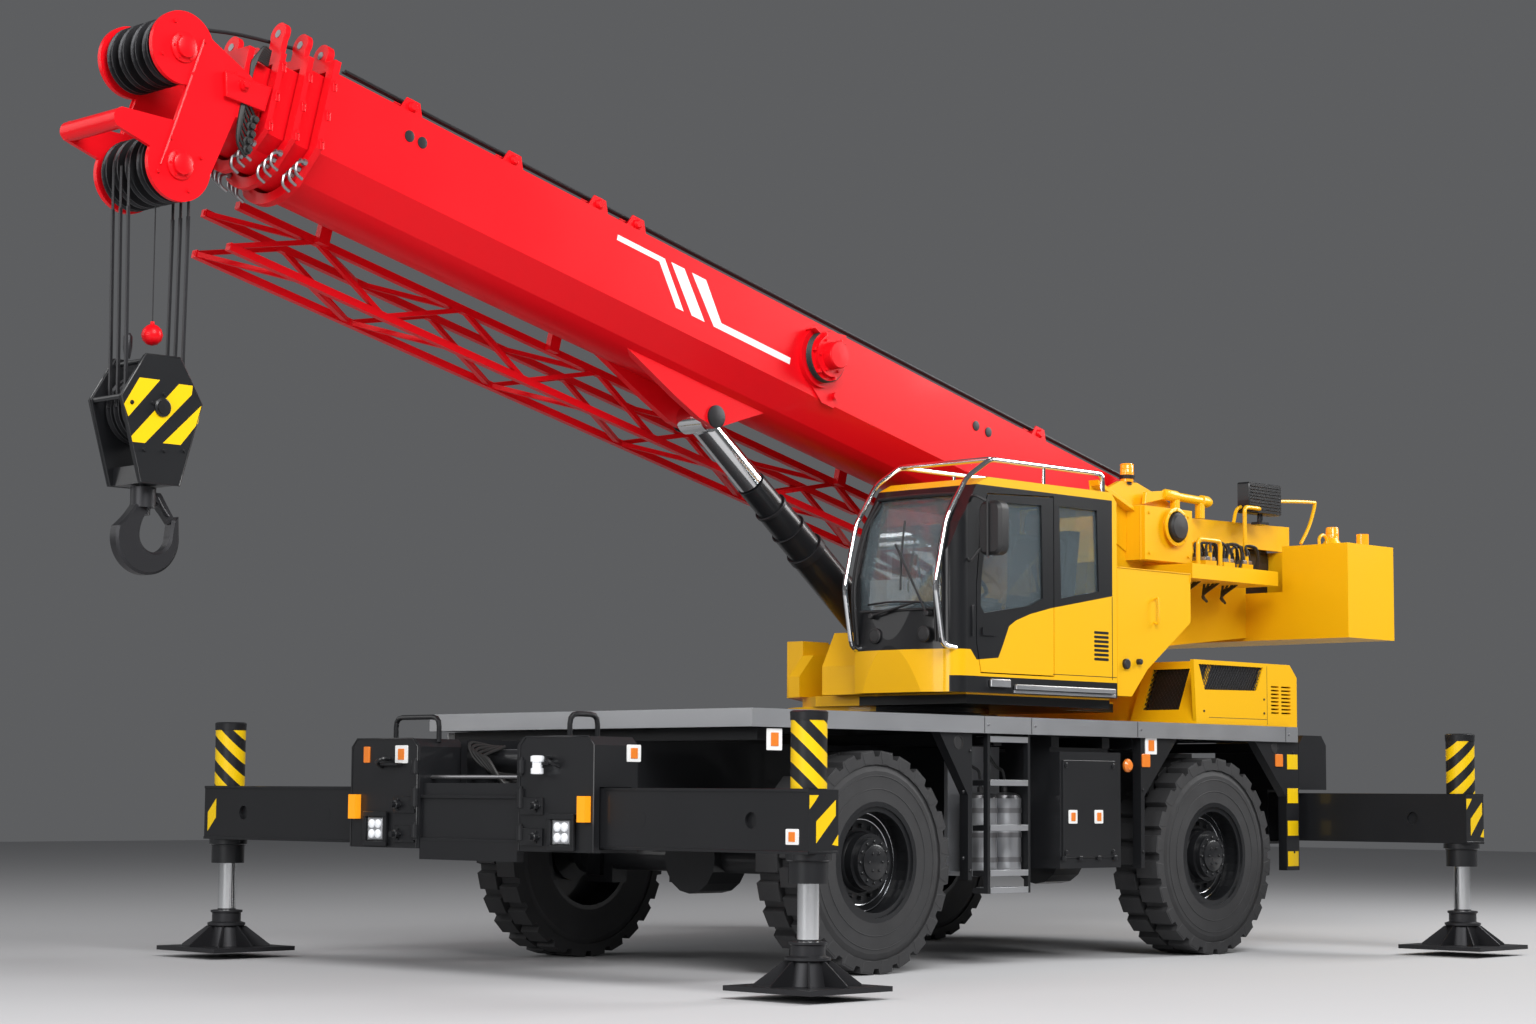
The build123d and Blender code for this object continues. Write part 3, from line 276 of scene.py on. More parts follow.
rubber.bump(rubber.noise(420.0, 2.0), 0.0003, 0.4)
hose = Paint("hose_rubber", (0.012, 0.012, 0.012), 0.55)
cloth = Paint("seat_cloth", (0.022, 0.024, 0.028), 0.85)
cloth.bump(cloth.noise(700.0, 2.0), 0.0008, 0.5)
wire = Paint("wire_rope", (0.030, 0.030, 0.032), 0.5, metallic=0.6)
glass = Paint("window_glass", (0.55, 0.68, 0.74), 0.03, Transmission_Weight=0.9, IOR=1.45, Alpha=0.75)
lens = Paint("lamp_lens", (0.92, 0.94, 0.96), 0.08, Transmission_Weight=0.6, Alpha=0.9)
mirror_glass = Paint("silvered_glass", (0.9, 0.92, 0.93), 0.02, metallic=1.0)
amber = Paint("amber_lens", (0.95, 0.36, 0.015), 0.15, Coat_Weight=0.5)
amber.set("Emission Color", (1.0, 0.30, 0.0, 1.0))
amber.set("Emission Strength", 0.35)
deck_plate = Paint("deck_plate", (0.055, 0.056, 0.06), 0.5, metallic=0.6)
_, (along, across, _) = deck_plate.place()
lozenges = ((along * 140.0).wave() * (across * 140.0).wave()).absolute().above(0.6)
deck_plate.bump(lozenges, 0.001, 0.6)

FINISHES = {
    "black_paint": black, "deck_plate": deck_plate, "silver_trim": silver, "yellow_paint": yellow,
    "engine_metal": steel, "clear_lamp": lens, "amber_lamp": amber, "tyre_rubber": rubber,
    "float_steel": iron, "cab_glass": glass, "seat_cloth": cloth, "rail_chrome": chrome,
    "black_plastic": plastic, "red_paint": red, "sheave_iron": iron, "hook_iron": iron,
    "cylinder_black": black, "rod_chrome": chrome,
}
for part in frame["record"]["subparts"]:
    mesh = frame["nodes"][part["node"]].data
    mesh.materials.clear()
    mesh.materials.append(FINISHES[part["material_slot"]].material)
print("finishes", len(FINISHES), "on", len(frame["nodes"]), "nodes")

# %% Floor and lights
FLOOR_HALF = 40.0
FLOOR_GREY = (0.50, 0.50, 0.51)
LAMPS = [   # name, place, size in metres, watts
    ("key", (7.0, 13.0, 12.0), 9.0, 3000.0),
    ("front", (16.0, 3.0, 6.0), 8.0, 1000.0),
    ("fill", (12.0, -11.0, 8.0), 10.0, 500.0),
    ("rim", (-12.0, 6.0, 9.0), 7.0, 1500.0),
]
LAMP_AIM = (0.5, 0.0, 1.8)      # the place that every lamp faces
SKY_GREY = (0.50, 0.51, 0.53)
SKY_STRENGTH = 0.22

floor_mesh = bpy.data.meshes.new("floor")
h = FLOOR_HALF
floor_mesh.from_pydata([(-h, -h, 0), (h, -h, 0), (h, h, 0), (-h, h, 0)], [], [(0, 1, 2, 3)])
floor = bpy.data.objects.new("floor", floor_mesh)
floor_mesh.materials.append(Paint("floor_grey", FLOOR_GREY, 0.85).material)
bpy.context.collection.objects.link(floor)

for name, spot, size, watts in LAMPS:
    lamp = bpy.data.lights.new(name, "AREA")
    lamp.size, lamp.energy = size, watts
    holder = bpy.data.objects.new(name, lamp)
    holder.location = spot
    aim = Vector(LAMP_AIM) - Vector(spot)
    holder.rotation_euler = aim.to_track_quat("-Z", "Y").to_euler()
    bpy.context.collection.objects.link(holder)

world = bpy.data.worlds.new("studio")
world.use_nodes = True
world.node_tree.nodes["Background"].inputs["Color"].default_value = (*SKY_GREY, 1.0)
world.node_tree.nodes["Background"].inputs["Strength"].default_value = SKY_STRENGTH
bpy.context.scene.world = world
bpy.context.scene.view_settings.view_transform = "Standard"
print("lamps", len(LAMPS))

# %% [markdown]
# ## Surfaces as arrays
# Every extra piece is a pair (points, faces).  Most are rings of points joined by quads: a plate is its
# outline repeated at four depths, a lathed part is a circle repeated along an axis, and a tube is a circle
# carried along a path.  Working on whole arrays keeps each rule in one line.

# %% Surface helpers
LEAST_R = 1e-4      # a turned profile never shrinks below this radius, so its end stays a ring
SHARP = 35.0        # degrees between two faces where shading starts to show an edge
MADE = {}           # each new piece's number of faces


def unit(vector):
    vector = np.asarray(vector, float)
    return vector / np.linalg.norm(vector, axis=-1, keepdims=True)


def circle(count):
    """Evenly spaced angles round a circle."""
    return np.linspace(0, 2 * np.pi, count, endpoint=False)


def square_to(axis):
    """A unit vector square to axis."""
    return unit(np.cross(axis, UP if abs(axis[2]) < 0.9 else FORWARD))


def loft(rings):
    """Closed rings joined in order, their ends capped: one face spans (i, j) to (i + 1, j + 1)."""
    rings = np.asarray(rings, float)
    count, around = rings.shape[:2]
    i, j = np.meshgrid(np.arange(count - 1), np.arange(around), indexing="ij")
    k = (j + 1) % around
    quads = np.stack([i * around + j, i * around + k, (i + 1) * around + k, (i + 1) * around + j], -1)
    faces = quads.reshape(-1, 4).tolist()
    faces.append(list(range(around)))
    faces.append(list(range((count - 1) * around, count * around)))
    return rings.reshape(-1, 3), faces


def merge(*shapes):
    """Several shapes as one: each one's face numbers move up by the points before it."""
    points, faces, start = [], [], 0
    for vertices, polygons in shapes:
        points.append(vertices)
        faces += [[start + index for index in polygon] for polygon in polygons]
        start += len(vertices)
    return np.concatenate(points), faces


def copies(shape, offsets):
    """The same shape moved by each row of offsets."""
    vertices, faces = shape
    offsets = np.atleast_2d(np.asarray(offsets, float))
    points = (vertices[None] + offsets[:, None]).reshape(-1, 3)
    polygons = [[index + number * len(vertices) for index in polygon]
                for number in range(len(offsets)) for polygon in faces]
    return points, polygons


def mirror_y(shape):
    """The same shape on the other side: y becomes -y."""
    return shape[0] * np.array([1.0, -1.0, 1.0]), shape[1]


def inset(outline, width):
    """Each corner of a closed outline moves in along its mitre, so every side moves in by width."""
    outline = np.asarray(outline, float)
    before, after = np.roll(outline, 1, 0), np.roll(outline, -1, 0)
    d1, d2 = unit(outline - before), unit(after - outline)
    n1, n2 = np.stack([-d1[:, 1], d1[:, 0]], -1), np.stack([-d2[:, 1], d2[:, 0]], -1)
    x, y = outline.T
    turn = np.sign(np.sum(x * np.roll(y, -1) - y * np.roll(x, -1)))
    mitre = (n1 + n2) / np.maximum(1.0 + np.sum(n1 * n2, -1), 0.3)[:, None]
    return outline + turn * width * mitre


def plate(outline, base, right_way, up_way, depth, bevel=0.003):
    """A flat plate: point = base + u * right + v * up + d * (right x up), its edges cut back by bevel."""
    right_way, up_way = unit(right_way), unit(up_way)
    out = np.cross(right_way, up_way)
    rings = []
    for d, cut in ((0.0, 0.0), (depth - np.sign(depth) * bevel, 0.0), (depth, bevel)):
        u, v = inset(outline, cut).T if cut else np.asarray(outline, float).T
        rings.append(np.asarray(base) + u[:, None] * right_way + v[:, None] * up_way + d * out)
    return loft(rings)


def oblong(u0, v0, u1, v1):
    """A rectangle's outline between two corners."""
    return np.array([(u0, v0), (u1, v0), (u1, v1), (u0, v1)])


def upright(outline, y, depth, bevel=0.003):
    """A plate that stands along the machine: its outline is (x, z), and its depth goes to the left."""
    return plate(outline, at(0, y, 0), FORWARD, UP, -depth, bevel)


def facing(outline, x, depth, bevel=0.003):
    """A plate that stands across the machine: its outline is (y, z), and its depth goes forward."""
    return plate(outline, at(x, 0, 0), LEFT, UP, depth, bevel)


def rectangle(width, height, corner=0.0, steps=4):
    """An upright rectangle about its middle, its corners quarter circles of radius corner."""
    if not corner:
        return oblong(-width / 2, -height / 2, width / 2, height / 2)
    turn = np.linspace(0, np.pi / 2, steps + 1)
    arc = corner * np.stack([np.cos(turn), np.sin(turn)], -1)
    w, h = width / 2 - corner, height / 2 - corner
    points = []
    for quarter, (sx, sy) in enumerate([(1, 1), (-1, 1), (-1, -1), (1, -1)]):
        c, s = np.cos(quarter * np.pi / 2), np.sin(quarter * np.pi / 2)
        points.append(arc @ np.array([[c, s], [-s, c]]) + (sx * w, sy * h))
    return np.concatenate(points)


def block(low, high, bevel=0.004):
    """A box between two corners with its upright edges rounded and its top edge cut."""
    low, high = np.asarray(low, float), np.asarray(high, float)
    size, middle = high - low, (low + high) / 2
    outline = rectangle(size[0], size[1], min(bevel * 2, size[0] / 3, size[1] / 3), 2)
    return plate(outline, (*middle[:2], low[2]), FORWARD, LEFT, size[2], min(bevel, size[2] / 3))


def slab(xs, ys, zs, bevel=0.004):
    """A block between two values on each axis, in either order."""
    low, high = zip(*(sorted(pair) for pair in (xs, ys, zs)))
    return block(at(*low), at(*high), bevel)


def frames(path):
    """Tangent and two side vectors at each point of a path, the sides turned as little as possible."""
    path = np.asarray(path, float)
    tangents = unit(np.gradient(path, axis=0))
    start = np.cross(tangents[0], (0.0, 0.0, 1.0))
    if np.linalg.norm(start) < 1e-3:
        start = np.cross(tangents[0], (0.0, 1.0, 0.0))
    sides = [unit(start)]
    for tangent in tangents[1:]:
        side = sides[-1] - tangent * np.dot(sides[-1], tangent)
        sides.append(unit(side))
    sides = np.array(sides)
    return tangents, sides, np.cross(tangents, sides)


def tube(path, radius, sides=10):
    """A circle carried along a path: point = path + r (cos a * side + sin a * up)."""
    path = np.asarray(path, float)
    _, side, up_side = frames(path)
    angle = circle(sides)[None, :, None]
    radius = np.broadcast_to(radius, len(path))[:, None, None]
    return loft(path[:, None] + radius * (np.cos(angle) * side[:, None] + np.sin(angle) * up_side[:, None]))


def curve(points, steps=6):
    """A smooth path through points: the Catmull-Rom cubic between each two."""
    p = np.asarray(points, float)
    p = np.concatenate([[2 * p[0] - p[1]], p, [2 * p[-1] - p[-2]]])
    t = np.linspace(0, 1, steps, endpoint=False)[:, None]
    a, b, c, d = (p[None, k:len(p) - 3 + k] for k in range(4))
    t = t[:, :, None]
    second, third = 2 * a - 5 * b + 4 * c - d, 3 * b - a - 3 * c + d
    body = 0.5 * (2 * b + (c - a) * t + second * t ** 2 + third * t ** 3)
    return np.concatenate([body.transpose(1, 0, 2).reshape(-1, 3), p[-2][None]])


def bent(points, radius, sides=8, steps=5):
    """A smooth tube through places measured from the slewing axis."""
    return tube(curve([at(*point) for point in points], steps), radius, sides)


def lathe(profile, base, axis, sides=32):
    """A profile of (along, radius) turned about an axis: base + along * axis + radius * (cos, sin)."""
    profile, axis = np.asarray(profile, float), unit(axis)
    side = square_to(axis)
    angle = circle(sides)[None, :, None]
    out = np.cos(angle) * side + np.sin(angle) * np.cross(axis, side)
    radius = np.maximum(profile[:, 1:, None], LEAST_R)
    return loft(np.asarray(base) + profile[:, :1, None] * axis + radius * out)


def ring(centre, axis, radius, thickness, count=72, sides=8):
    """A torus: centre + (radius + thickness cos v) * (cos u, sin u) + thickness sin v * axis."""
    axis = unit(axis)
    side = square_to(axis)
    u, v = circle(count)[:, None, None], circle(sides)[None, :, None]
    out = np.cos(u) * side + np.sin(u) * np.cross(axis, side)
    points = centre + (radius + thickness * np.cos(v)) * out + thickness * np.sin(v) * axis
    number = np.arange(count * sides).reshape(count, sides)
    opposite = np.roll(number, (-1, -1), (0, 1))
    faces = np.stack([number, np.roll(number, -1, 0), opposite, np.roll(number, -1, 1)], axis=2)
    return points.reshape(-1, 3), faces.reshape(-1, 4).tolist()


def bolt(base, axis, size=0.012, height=0.010):
    """A hexagon head on a washer, standing on base."""
    washer = lathe([(0, size * 1.25), (height * 0.25, size * 1.25)], base, axis, 16)
    head = lathe([(height * 0.25, size), (height * 0.85, size), (height, size * 0.82)], base, axis, 6)
    return merge(washer, head)


def bolt_circle(base, axis, radius, count, size=0.012, height=0.010, start=0.0):
    """Bolts evenly round a circle about base."""
    axis = unit(axis)
    side, angle = square_to(axis), (start + circle(count))[:, None]
    out = np.cos(angle) * side + np.sin(angle) * np.cross(axis, side)
    return copies(bolt(base, axis, size, height), radius * out)


def piece(name, shapes, body, paint, covers=()):
    """One object made of shapes, riding on a body, in a paint, with its normals turned outward."""
    points, faces = merge(*shapes)
    mesh = bpy.data.meshes.new(name)
    mesh.from_pydata(points.tolist(), [], faces)
    shell = bmesh.new()
    shell.from_mesh(mesh)
    bmesh.ops.recalc_face_normals(shell, faces=shell.faces)
    shell.to_mesh(mesh)
    shell.free()
    mesh.shade_smooth()
    mesh.set_sharp_from_angle(angle=np.radians(SHARP))
    mesh.materials.append(paint.material)
    made = bpy.data.objects.new(name, mesh)
    bpy.context.collection.objects.link(made)
    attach(made, body)
    if covers:
        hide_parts(*covers)
    MADE[name] = len(mesh.polygons)
    return made


# %% [markdown]
# ## Boom markings
# A painted marking is a plate a millimetre thick, so it keeps a crisp edge at any distance.  The white
# lines run along both sides of the boom, in the boom's own coordinates.

# %% Boom markings
BOOM_HALF = 0.33
STRIPES = [   # corners as along the boom, height above its pivot line
    [(5.62, 0.19), (5.20, 0.19), (4.96, -0.08), (5.03, -0.08), (5.24, 0.155), (5.62, 0.155)],
    [(5.14, 0.19), (5.02, 0.19), (4.765, -0.08), (4.885, -0.08)],
    [(4.95, 0.19), (4.82, 0.19), (4.62, -0.035), (3.95, -0.035), (3.95, -0.08), (4.68, -0.08)],
]
HOLES = (7.33, 7.23, 2.03, 1.89)          # metres along the boom
STRIPE_DEPTH = 0.0012
HOLE_UP = 0.14

stripes = [plate(outline, on_boom(0.0, side * BOOM_HALF, 0.0), BOOM_U, BOOM_W, -side * STRIPE_DEPTH, 0.0)
           for outline in STRIPES for side in SIDES]
piece("boom_stripes", stripes, "boom", white)
plugs = [lathe([(0, 0.035), (0.004, 0.035), (0.005, 0.030)],
               on_boom(along, side * BOOM_HALF, HOLE_UP), side * LEFT, 20)
         for along in HOLES for side in SIDES]
piece("boom_hole_plugs", plugs, "boom", iron)
print("stripes", len(stripes))

# %% [markdown]
# ## Rope along the boom
# The hoist rope leaves a winch behind the pivot, runs over guides welded to the boom's top and ends on the
# upper sheaves.  Each guide is a pair of cheeks with a roller between them.

# %% Rope guides and ropes
BOOM_TOP = 0.285
GUIDES = [7.27, 6.45, 5.72, 5.38, 1.20]          # metres along the boom
ROPE_R = 0.011
ROPE_Y = 0.16
ROPE_H = BOOM_TOP + 0.117
CHEEK = [(-0.11, 0), (0.11, 0), (0.05, 0.13), (-0.05, 0.13)]
ROLLER = [(-0.075, 0.020), (-0.062, 0.032), (0.062, 0.032), (0.075, 0.020)]

guides = []
for along in GUIDES:
    foot = on_boom(along, ROPE_Y, BOOM_TOP)
    for y in (-0.055, 0.055):
        guides.append(plate(CHEEK, foot + y * LEFT, BOOM_U, BOOM_W, 0.012, 0.002))
    guides.append(lathe(ROLLER, foot + 0.085 * BOOM_W, LEFT, 16))
piece("rope_guides", guides, "boom", red)

rope_path = np.array([on_boom(along, ROPE_Y, ROPE_H) for along in np.linspace(-0.05, 7.75, 14)])
piece("boom_top_ropes", [tube(rope_path, ROPE_R, 8), tube(rope_path - 0.03 * LEFT, ROPE_R * 0.7, 8)],
      "boom", wire)
print("guides", len(GUIDES))

# %% [markdown]
# ## Jacks
# Hazard bands are cut by a slanting plane: a point is yellow where its height, less a share of its distances
# forward and left, repeats past one half.  The rear jacks' bands slant the other way.

# %% Hazard bands
BAND = 0.16            # metres from one yellow band to the next
BEAM_X = {1: 3.63, -1: -3.11}
JACK_Y = 2.653
JACK_R = 0.097
# Turned profiles are (height, radius); a fin's outline is (radius, height).
SLEEVE = [(1.13, JACK_R), (1.13, JACK_R + 0.003), (1.50, JACK_R + 0.003), (1.50, JACK_R)]
CAP = [(1.50, JACK_R + 0.006), (1.545, JACK_R + 0.008), (1.553, JACK_R - 0.004)]
COLLAR = [(0.62, 0.085), (0.62, 0.108), (0.735, 0.108), (0.745, 0.125), (0.78, 0.125)]
COLLAR_BOLTS = 0.118 * np.array([(1, 0, 0), (0, 1, 0), (-1, 0, 0), (0, -1, 0)])
SOCKET = [(0.073, 0.13), (0.20, 0.105), (0.21, 0.125), (0.225, 0.125), (0.235, 0.095), (0.29, 0.095),
          (0.295, 0.105), (0.308, 0.105), (0.312, 0.07)]
FIN = [(0.10, 0.073), (0.29, 0.073), (0.29, 0.085), (0.13, 0.205), (0.10, 0.205)]
FIN_DEPTH = 0.010


def hazard_paint(name, along_x, along_y):
    """Black paint with yellow bands where (x a + y b - z) / BAND, less its whole part, is over one half."""
    paint = gloss_paint(name, BLACK, 0.4, 0.2)
    _, (x, y, z) = paint.place()
    phase = (x * along_x + y * along_y - z) / BAND
    paint.set("Base Color", paint.mix(phase.repeat(1.0).above(0.5), BLACK, HAZARD))
    return paint


hazard = {1: hazard_paint("hazard_bands_front", 0.7, -0.7), -1: hazard_paint("hazard_bands_rear", -0.7, 0.7)}
for name, end, side in CORNERS:
    foot = at(BEAM_X[end], side * JACK_Y, 0)
    piece(f"jack_bands_{name}", [lathe(SLEEVE, foot, UP)], f"beam_{name}", hazard[end])
    bolts = copies(bolt(foot + 0.775 * UP, -UP, 0.009, 0.02), COLLAR_BOLTS)
    piece(f"jack_collar_{name}", [lathe(CAP, foot, UP), lathe(COLLAR, foot, UP), bolts],
          f"beam_{name}", black)
    fins = []
    for turn in circle(8):
        out = np.cos(turn) * FORWARD + np.sin(turn) * LEFT
        fins.append(plate(FIN, foot - FIN_DEPTH / 2 * np.cross(out, UP), out, UP, FIN_DEPTH, 0.001))
    piece(f"float_socket_{name}", [lathe(SOCKET, foot, UP, 24), *fins], f"float_{name}", iron)
print("jacks", len(CORNERS))

# %% [markdown]
# ## Cab
# The cab's black band is paint, not a piece: a point of the shell is black where it stands above a line that
# runs along the doors and steps down to the front.  The line is a list of (x, height) stops, and the shader
# reads it with a colour ramp, whose greys stand for heights.

# %% Cab paint
BAND_STOPS = [   # metres ahead of the slewing axis, height of the band's lower edge
    (-0.73, 2.46), (-0.03, 2.34), (0.19, 2.29), (0.34, 2.24), (0.41, 2.20), (0.47, 2.08), (0.52, 1.99),
    (0.74, 1.97), (0.80, 2.035), (1.10, 2.035),
]
BAND_TOP = 3.11
BAND_REAR = -0.70
SILL_TOP = 1.865
SILL_Y = 1.36
RAMP_HEIGHT = 4.0


def read_stops(paint, value, stops):
    """The number on straight lines between stops, at value."""
    first, last = stops[0][0], stops[-1][0]
    node = paint.node("ValToRGB", Fac=(value - first) / (last - first))
    elements = node.color_ramp.elements
    for number, (spot, level) in enumerate(stops):
        share = (spot - first) / (last - first)
        if number in (0, len(stops) - 1):
            element = elements[0 if number == 0 else -1]
            element.position = share
        else:
            element = elements.new(share)
        element.color = (level / RAMP_HEIGHT,) * 3 + (1.0,)
    return Sum(paint, node.outputs["Color"]) * RAMP_HEIGHT


cab_paint = gloss_paint("cab_gloss", YELLOW, 0.33, 0.25)
_, (x, y, z) = cab_paint.place()
ahead = x - SLEW_X
in_band = (z - read_stops(cab_paint, ahead, BAND_STOPS)).above(0.0) * ahead.above(BAND_REAR)
in_band = in_band * (BAND_TOP - z).above(0.0)
in_sill = (SILL_TOP - z).above(0.0) * y.above(SILL_Y)
cab_paint.set("Base Color", cab_paint.mix((in_band + in_sill).clamp(), YELLOW, BLACK))
for name in ("cab_shell", "cab_door"):
    frame["nodes"][name].data.materials[0] = cab_paint.material
print("cab band stops", len(BAND_STOPS))

# %% Cab fittings
CAB_SIDE = 1.42
CAB_LAMP_X, CAB_LAMP_UP = 1.026, 2.13
TURNING = "superstructure"               # the body that slews
CAB_LAMP = [(0, 0.040), (0.010, 0.044), (0.016, 0.038), (0.018, 0.0)]
CAB_LAMP_RING = [(0, 0.052), (0.012, 0.052), (0.016, 0.046), (0.016, 0.041), (0.004, 0.041)]
WIPER_ARMS = [(0.78, 1.16, 2.34), (1.26, 0.98, 2.72)]      # y of the foot, y and height of the tip
WIPER_BLADES = [
    [(1.03, 0.74, 2.335), (1.045, 0.95, 2.345), (1.035, 1.22, 2.335)],
    [(1.03, 1.02, 2.42), (1.0, 1.00, 2.65), (0.94, 0.98, 2.88)],
]
POSTS = [      # the windscreen's left and right posts, each drawn twice to give it a width
    [(1.0, 1.30, 2.08), (1.012, 1.30, 2.45), (0.925, 1.295, 2.82), (0.80, 1.28, 3.04)],
    [(1.0, 0.60, 2.08), (1.03, 0.60, 2.45), (0.94, 0.61, 2.82), (0.80, 0.62, 3.04)],
]
HEADER = [(0.80, 0.62, 3.05), (0.815, 0.95, 3.055), (0.79, 1.29, 3.05)]
MIRROR_X = 0.735

# The rows of vent slots are flat black plates on the cab side: painted shade in the slots.
slots = [upright(rectangle(0.16, 0.018, 0.008, 3) + (-0.575, 2.02 + 0.03 * row), CAB_SIDE, 0.0015, 0.0)
         for row in range(7)]
slots.append(upright(rectangle(0.02, 0.20, 0.004, 2) + (0.782, 2.22), CAB_SIDE, 0.012))
piece("cab_slots", slots, TURNING, black)
seams = [upright(oblong(*ends), CAB_SIDE, 0.001, 0.0)
         for ends in ((-0.70, 1.884, -0.694, 2.45), (-0.745, 1.90, -0.05, 1.904))]
piece("cab_seams", seams, TURNING, black)
sill = [slab((-0.72, 0.37), (1.42, 1.435), (1.765, 1.785), 0.003),
        slab((-0.70, 0.37), (1.425, 1.452), (1.79, 1.822), 0.006),
        slab((0.42, 0.62), (1.425, 1.448), (1.80, 1.85), 0.006)]
piece("cab_sill", sill, TURNING, silver)

lamp_spots = [at(CAB_LAMP_X, y, CAB_LAMP_UP) for y in (0.80, 1.22)]
lamps = [lathe(CAB_LAMP, spot, FORWARD, 24) for spot in lamp_spots]
piece("cab_front_lamps", lamps, TURNING, plastic)
trims = [lathe(CAB_LAMP_RING, spot, FORWARD, 24) for spot in lamp_spots]
trims.append(facing(oblong(0.66, 2.285, 1.31, 2.300), 1.022, 0.008))
for foot_y, tip_y, tip_up in WIPER_ARMS:
    foot, tip = at(1.03, foot_y, 2.26), at(1.005, tip_y, tip_up)
    trims.append(tube([foot - 0.03 * FORWARD, foot + 0.02 * FORWARD, tip + 0.03 * FORWARD], 0.008, 8))
    trims.append(lathe([(-0.02, 0.020), (0.025, 0.020), (0.03, 0.014)], foot, FORWARD, 16))
trims += [bent(path, 0.007, 6) for path in WIPER_BLADES]
piece("cab_front_trim", trims, TURNING, plastic)

posts = []
for wider, lower in ((0.0, 0.0), (0.022, 0.02)):
    for path in np.array(POSTS) + (0.0, wider, 0.0):
        path[-1, 2] -= lower
        posts.append(bent(path, 0.010))
posts.append(bent(HEADER, 0.012, 8, 6))
piece("windscreen_frame", posts, TURNING, plastic)

mirror_shape = rectangle(0.19, 0.35, 0.06, 5) + (1.59, 2.81)
housing = [facing(mirror_shape, MIRROR_X, 0.085, 0.02),
           bent([(0.80, 1.41, 2.99), (0.86, 1.50, 3.02), (0.80, 1.585, 2.97)], 0.010),
           bent([(0.82, 1.41, 2.62), (0.86, 1.47, 2.60), (0.82, 1.52, 2.68)], 0.009),
           tube([at(0.828, 1.585, 2.99), at(0.828, 1.585, 2.62)], 0.009, 8)]
piece("mirror_housing", housing, TURNING, plastic, covers=("mirror",))
piece("mirror_face", [facing(inset(mirror_shape, 0.018), MIRROR_X, -0.002)], TURNING, mirror_glass)
print("cab pieces", len(MADE))

# %% Cab inside
WHEEL_MIDDLE = at(0.38, 0.99, 2.50)
WHEEL_AXIS = unit((-0.5, 0, 0.86))
WHEEL_R = 0.17
KNOB = [(0, 0.014), (0.03, 0.026), (0.07, 0.022), (0.085, 0.01)]
SEAT_BACK = unit((-0.19, 0, 1))

controls = [ring(WHEEL_MIDDLE, WHEEL_AXIS, WHEEL_R, 0.014, 28)]
for turn in 2 * np.pi * np.array([0, 10, 18]) / 28:
    out = np.cos(turn) * LEFT + np.sin(turn) * np.cross(WHEEL_AXIS, LEFT)
    controls.append(tube([WHEEL_MIDDLE, WHEEL_MIDDLE + WHEEL_R * out], 0.012, 6))
controls.append(tube([WHEEL_MIDDLE, at(0.52, 0.99, 2.22)], 0.028, 10))
controls.append(upright([(0.44, 2.14), (0.76, 2.14), (0.74, 2.36), (0.52, 2.30)], 0.76, 0.46, 0.01))
for y in (0.70, 1.28):
    controls.append(bent([(0.0, y, 2.42), (0.02, y, 2.50), (0.04, y, 2.56)], 0.012, 8, 4))
    controls.append(lathe(KNOB, at(0.04, y, 2.55), (0.2, 0, 1), 14))
    controls.append(slab((-0.30, 0.08), (y - 0.05, y + 0.05), (2.42, 2.445), 0.01))
controls.append(facing(rectangle(0.20, 0.15, 0.015, 3) + (0.72, 2.62), 0.66, -0.03, 0.004))
piece("cab_controls", controls, TURNING, plastic)
pads = [plate(rectangle(0.46, 0.52, 0.09, 5) + (-0.25, 0.99), at(0, 0, 2.281), FORWARD, LEFT, 0.05, 0.02),
        plate(rectangle(0.44, 0.60, 0.10, 5), at(-0.42, 0.99, 2.56), LEFT, SEAT_BACK, 0.07, 0.025),
        plate(rectangle(0.26, 0.17, 0.05, 4), at(-0.50, 0.99, 2.96), LEFT, SEAT_BACK, 0.08, 0.02)]
piece("seat_pads", pads, TURNING, cloth)
print("cab insides", MADE["cab_controls"], "faces")

# %% [markdown]
# ## Superstructure
# Behind the cab stand the pivot box, a tray of valves with its hoses, a floodlight on a stalk and the
# beacons.
# Hoses are smooth curves through a few named places; each valve has a hexagonal fitting under its hose.

# %% Pivot box and housing
PIVOT_SPOT = at(-2.5, 0.65, 3.1)
PIVOT_DOME = [(0, 0.105), (0.012, 0.110), (0.030, 0.106), (0.045, 0.088), (0.052, 0.0)]
PIVOT_FLANGE = [(0, 0.145), (0.008, 0.145), (0.011, 0.138), (0.011, 0.118), (0.0, 0.118)]
FAIRINGS = [     # outline as (x, height), its y and its depth
    (oblong(-2.745, 2.835, -2.145, 3.245), 0.575, 0.012),
    ([(-2.15, 3.23), (-2.15, 2.90), (-1.76, 3.08), (-1.71, 3.40)], 0.44, 0.012),
    ([(-1.72, 3.36), (-2.15, 3.20), (-2.15, 3.23), (-1.71, 3.40)], 0.44, 0.09),
]
HOUSING_SIDE = 1.40
LIP = [(-0.78, 2.663), (-1.628, 2.663), (-1.628, 2.60), (-1.622, 2.60), (-1.622, 2.657), (-0.78, 2.657)]

piece("pivot_cap", [lathe(PIVOT_DOME, PIVOT_SPOT, LEFT, 36)], TURNING, plastic)
box_trim = [lathe(PIVOT_FLANGE, PIVOT_SPOT, LEFT, 36), bolt_circle(PIVOT_SPOT, LEFT, 0.131, 8, 0.009, 0.016)]
box_trim += [bolt(at(x, 0.62, z), LEFT, 0.010, 0.010) for x in (-2.20, -2.69) for z in (2.89, 3.19)]
box_trim += [upright(outline, y, depth) for outline, y, depth in FAIRINGS]
piece("pivot_trim", box_trim, TURNING, yellow)

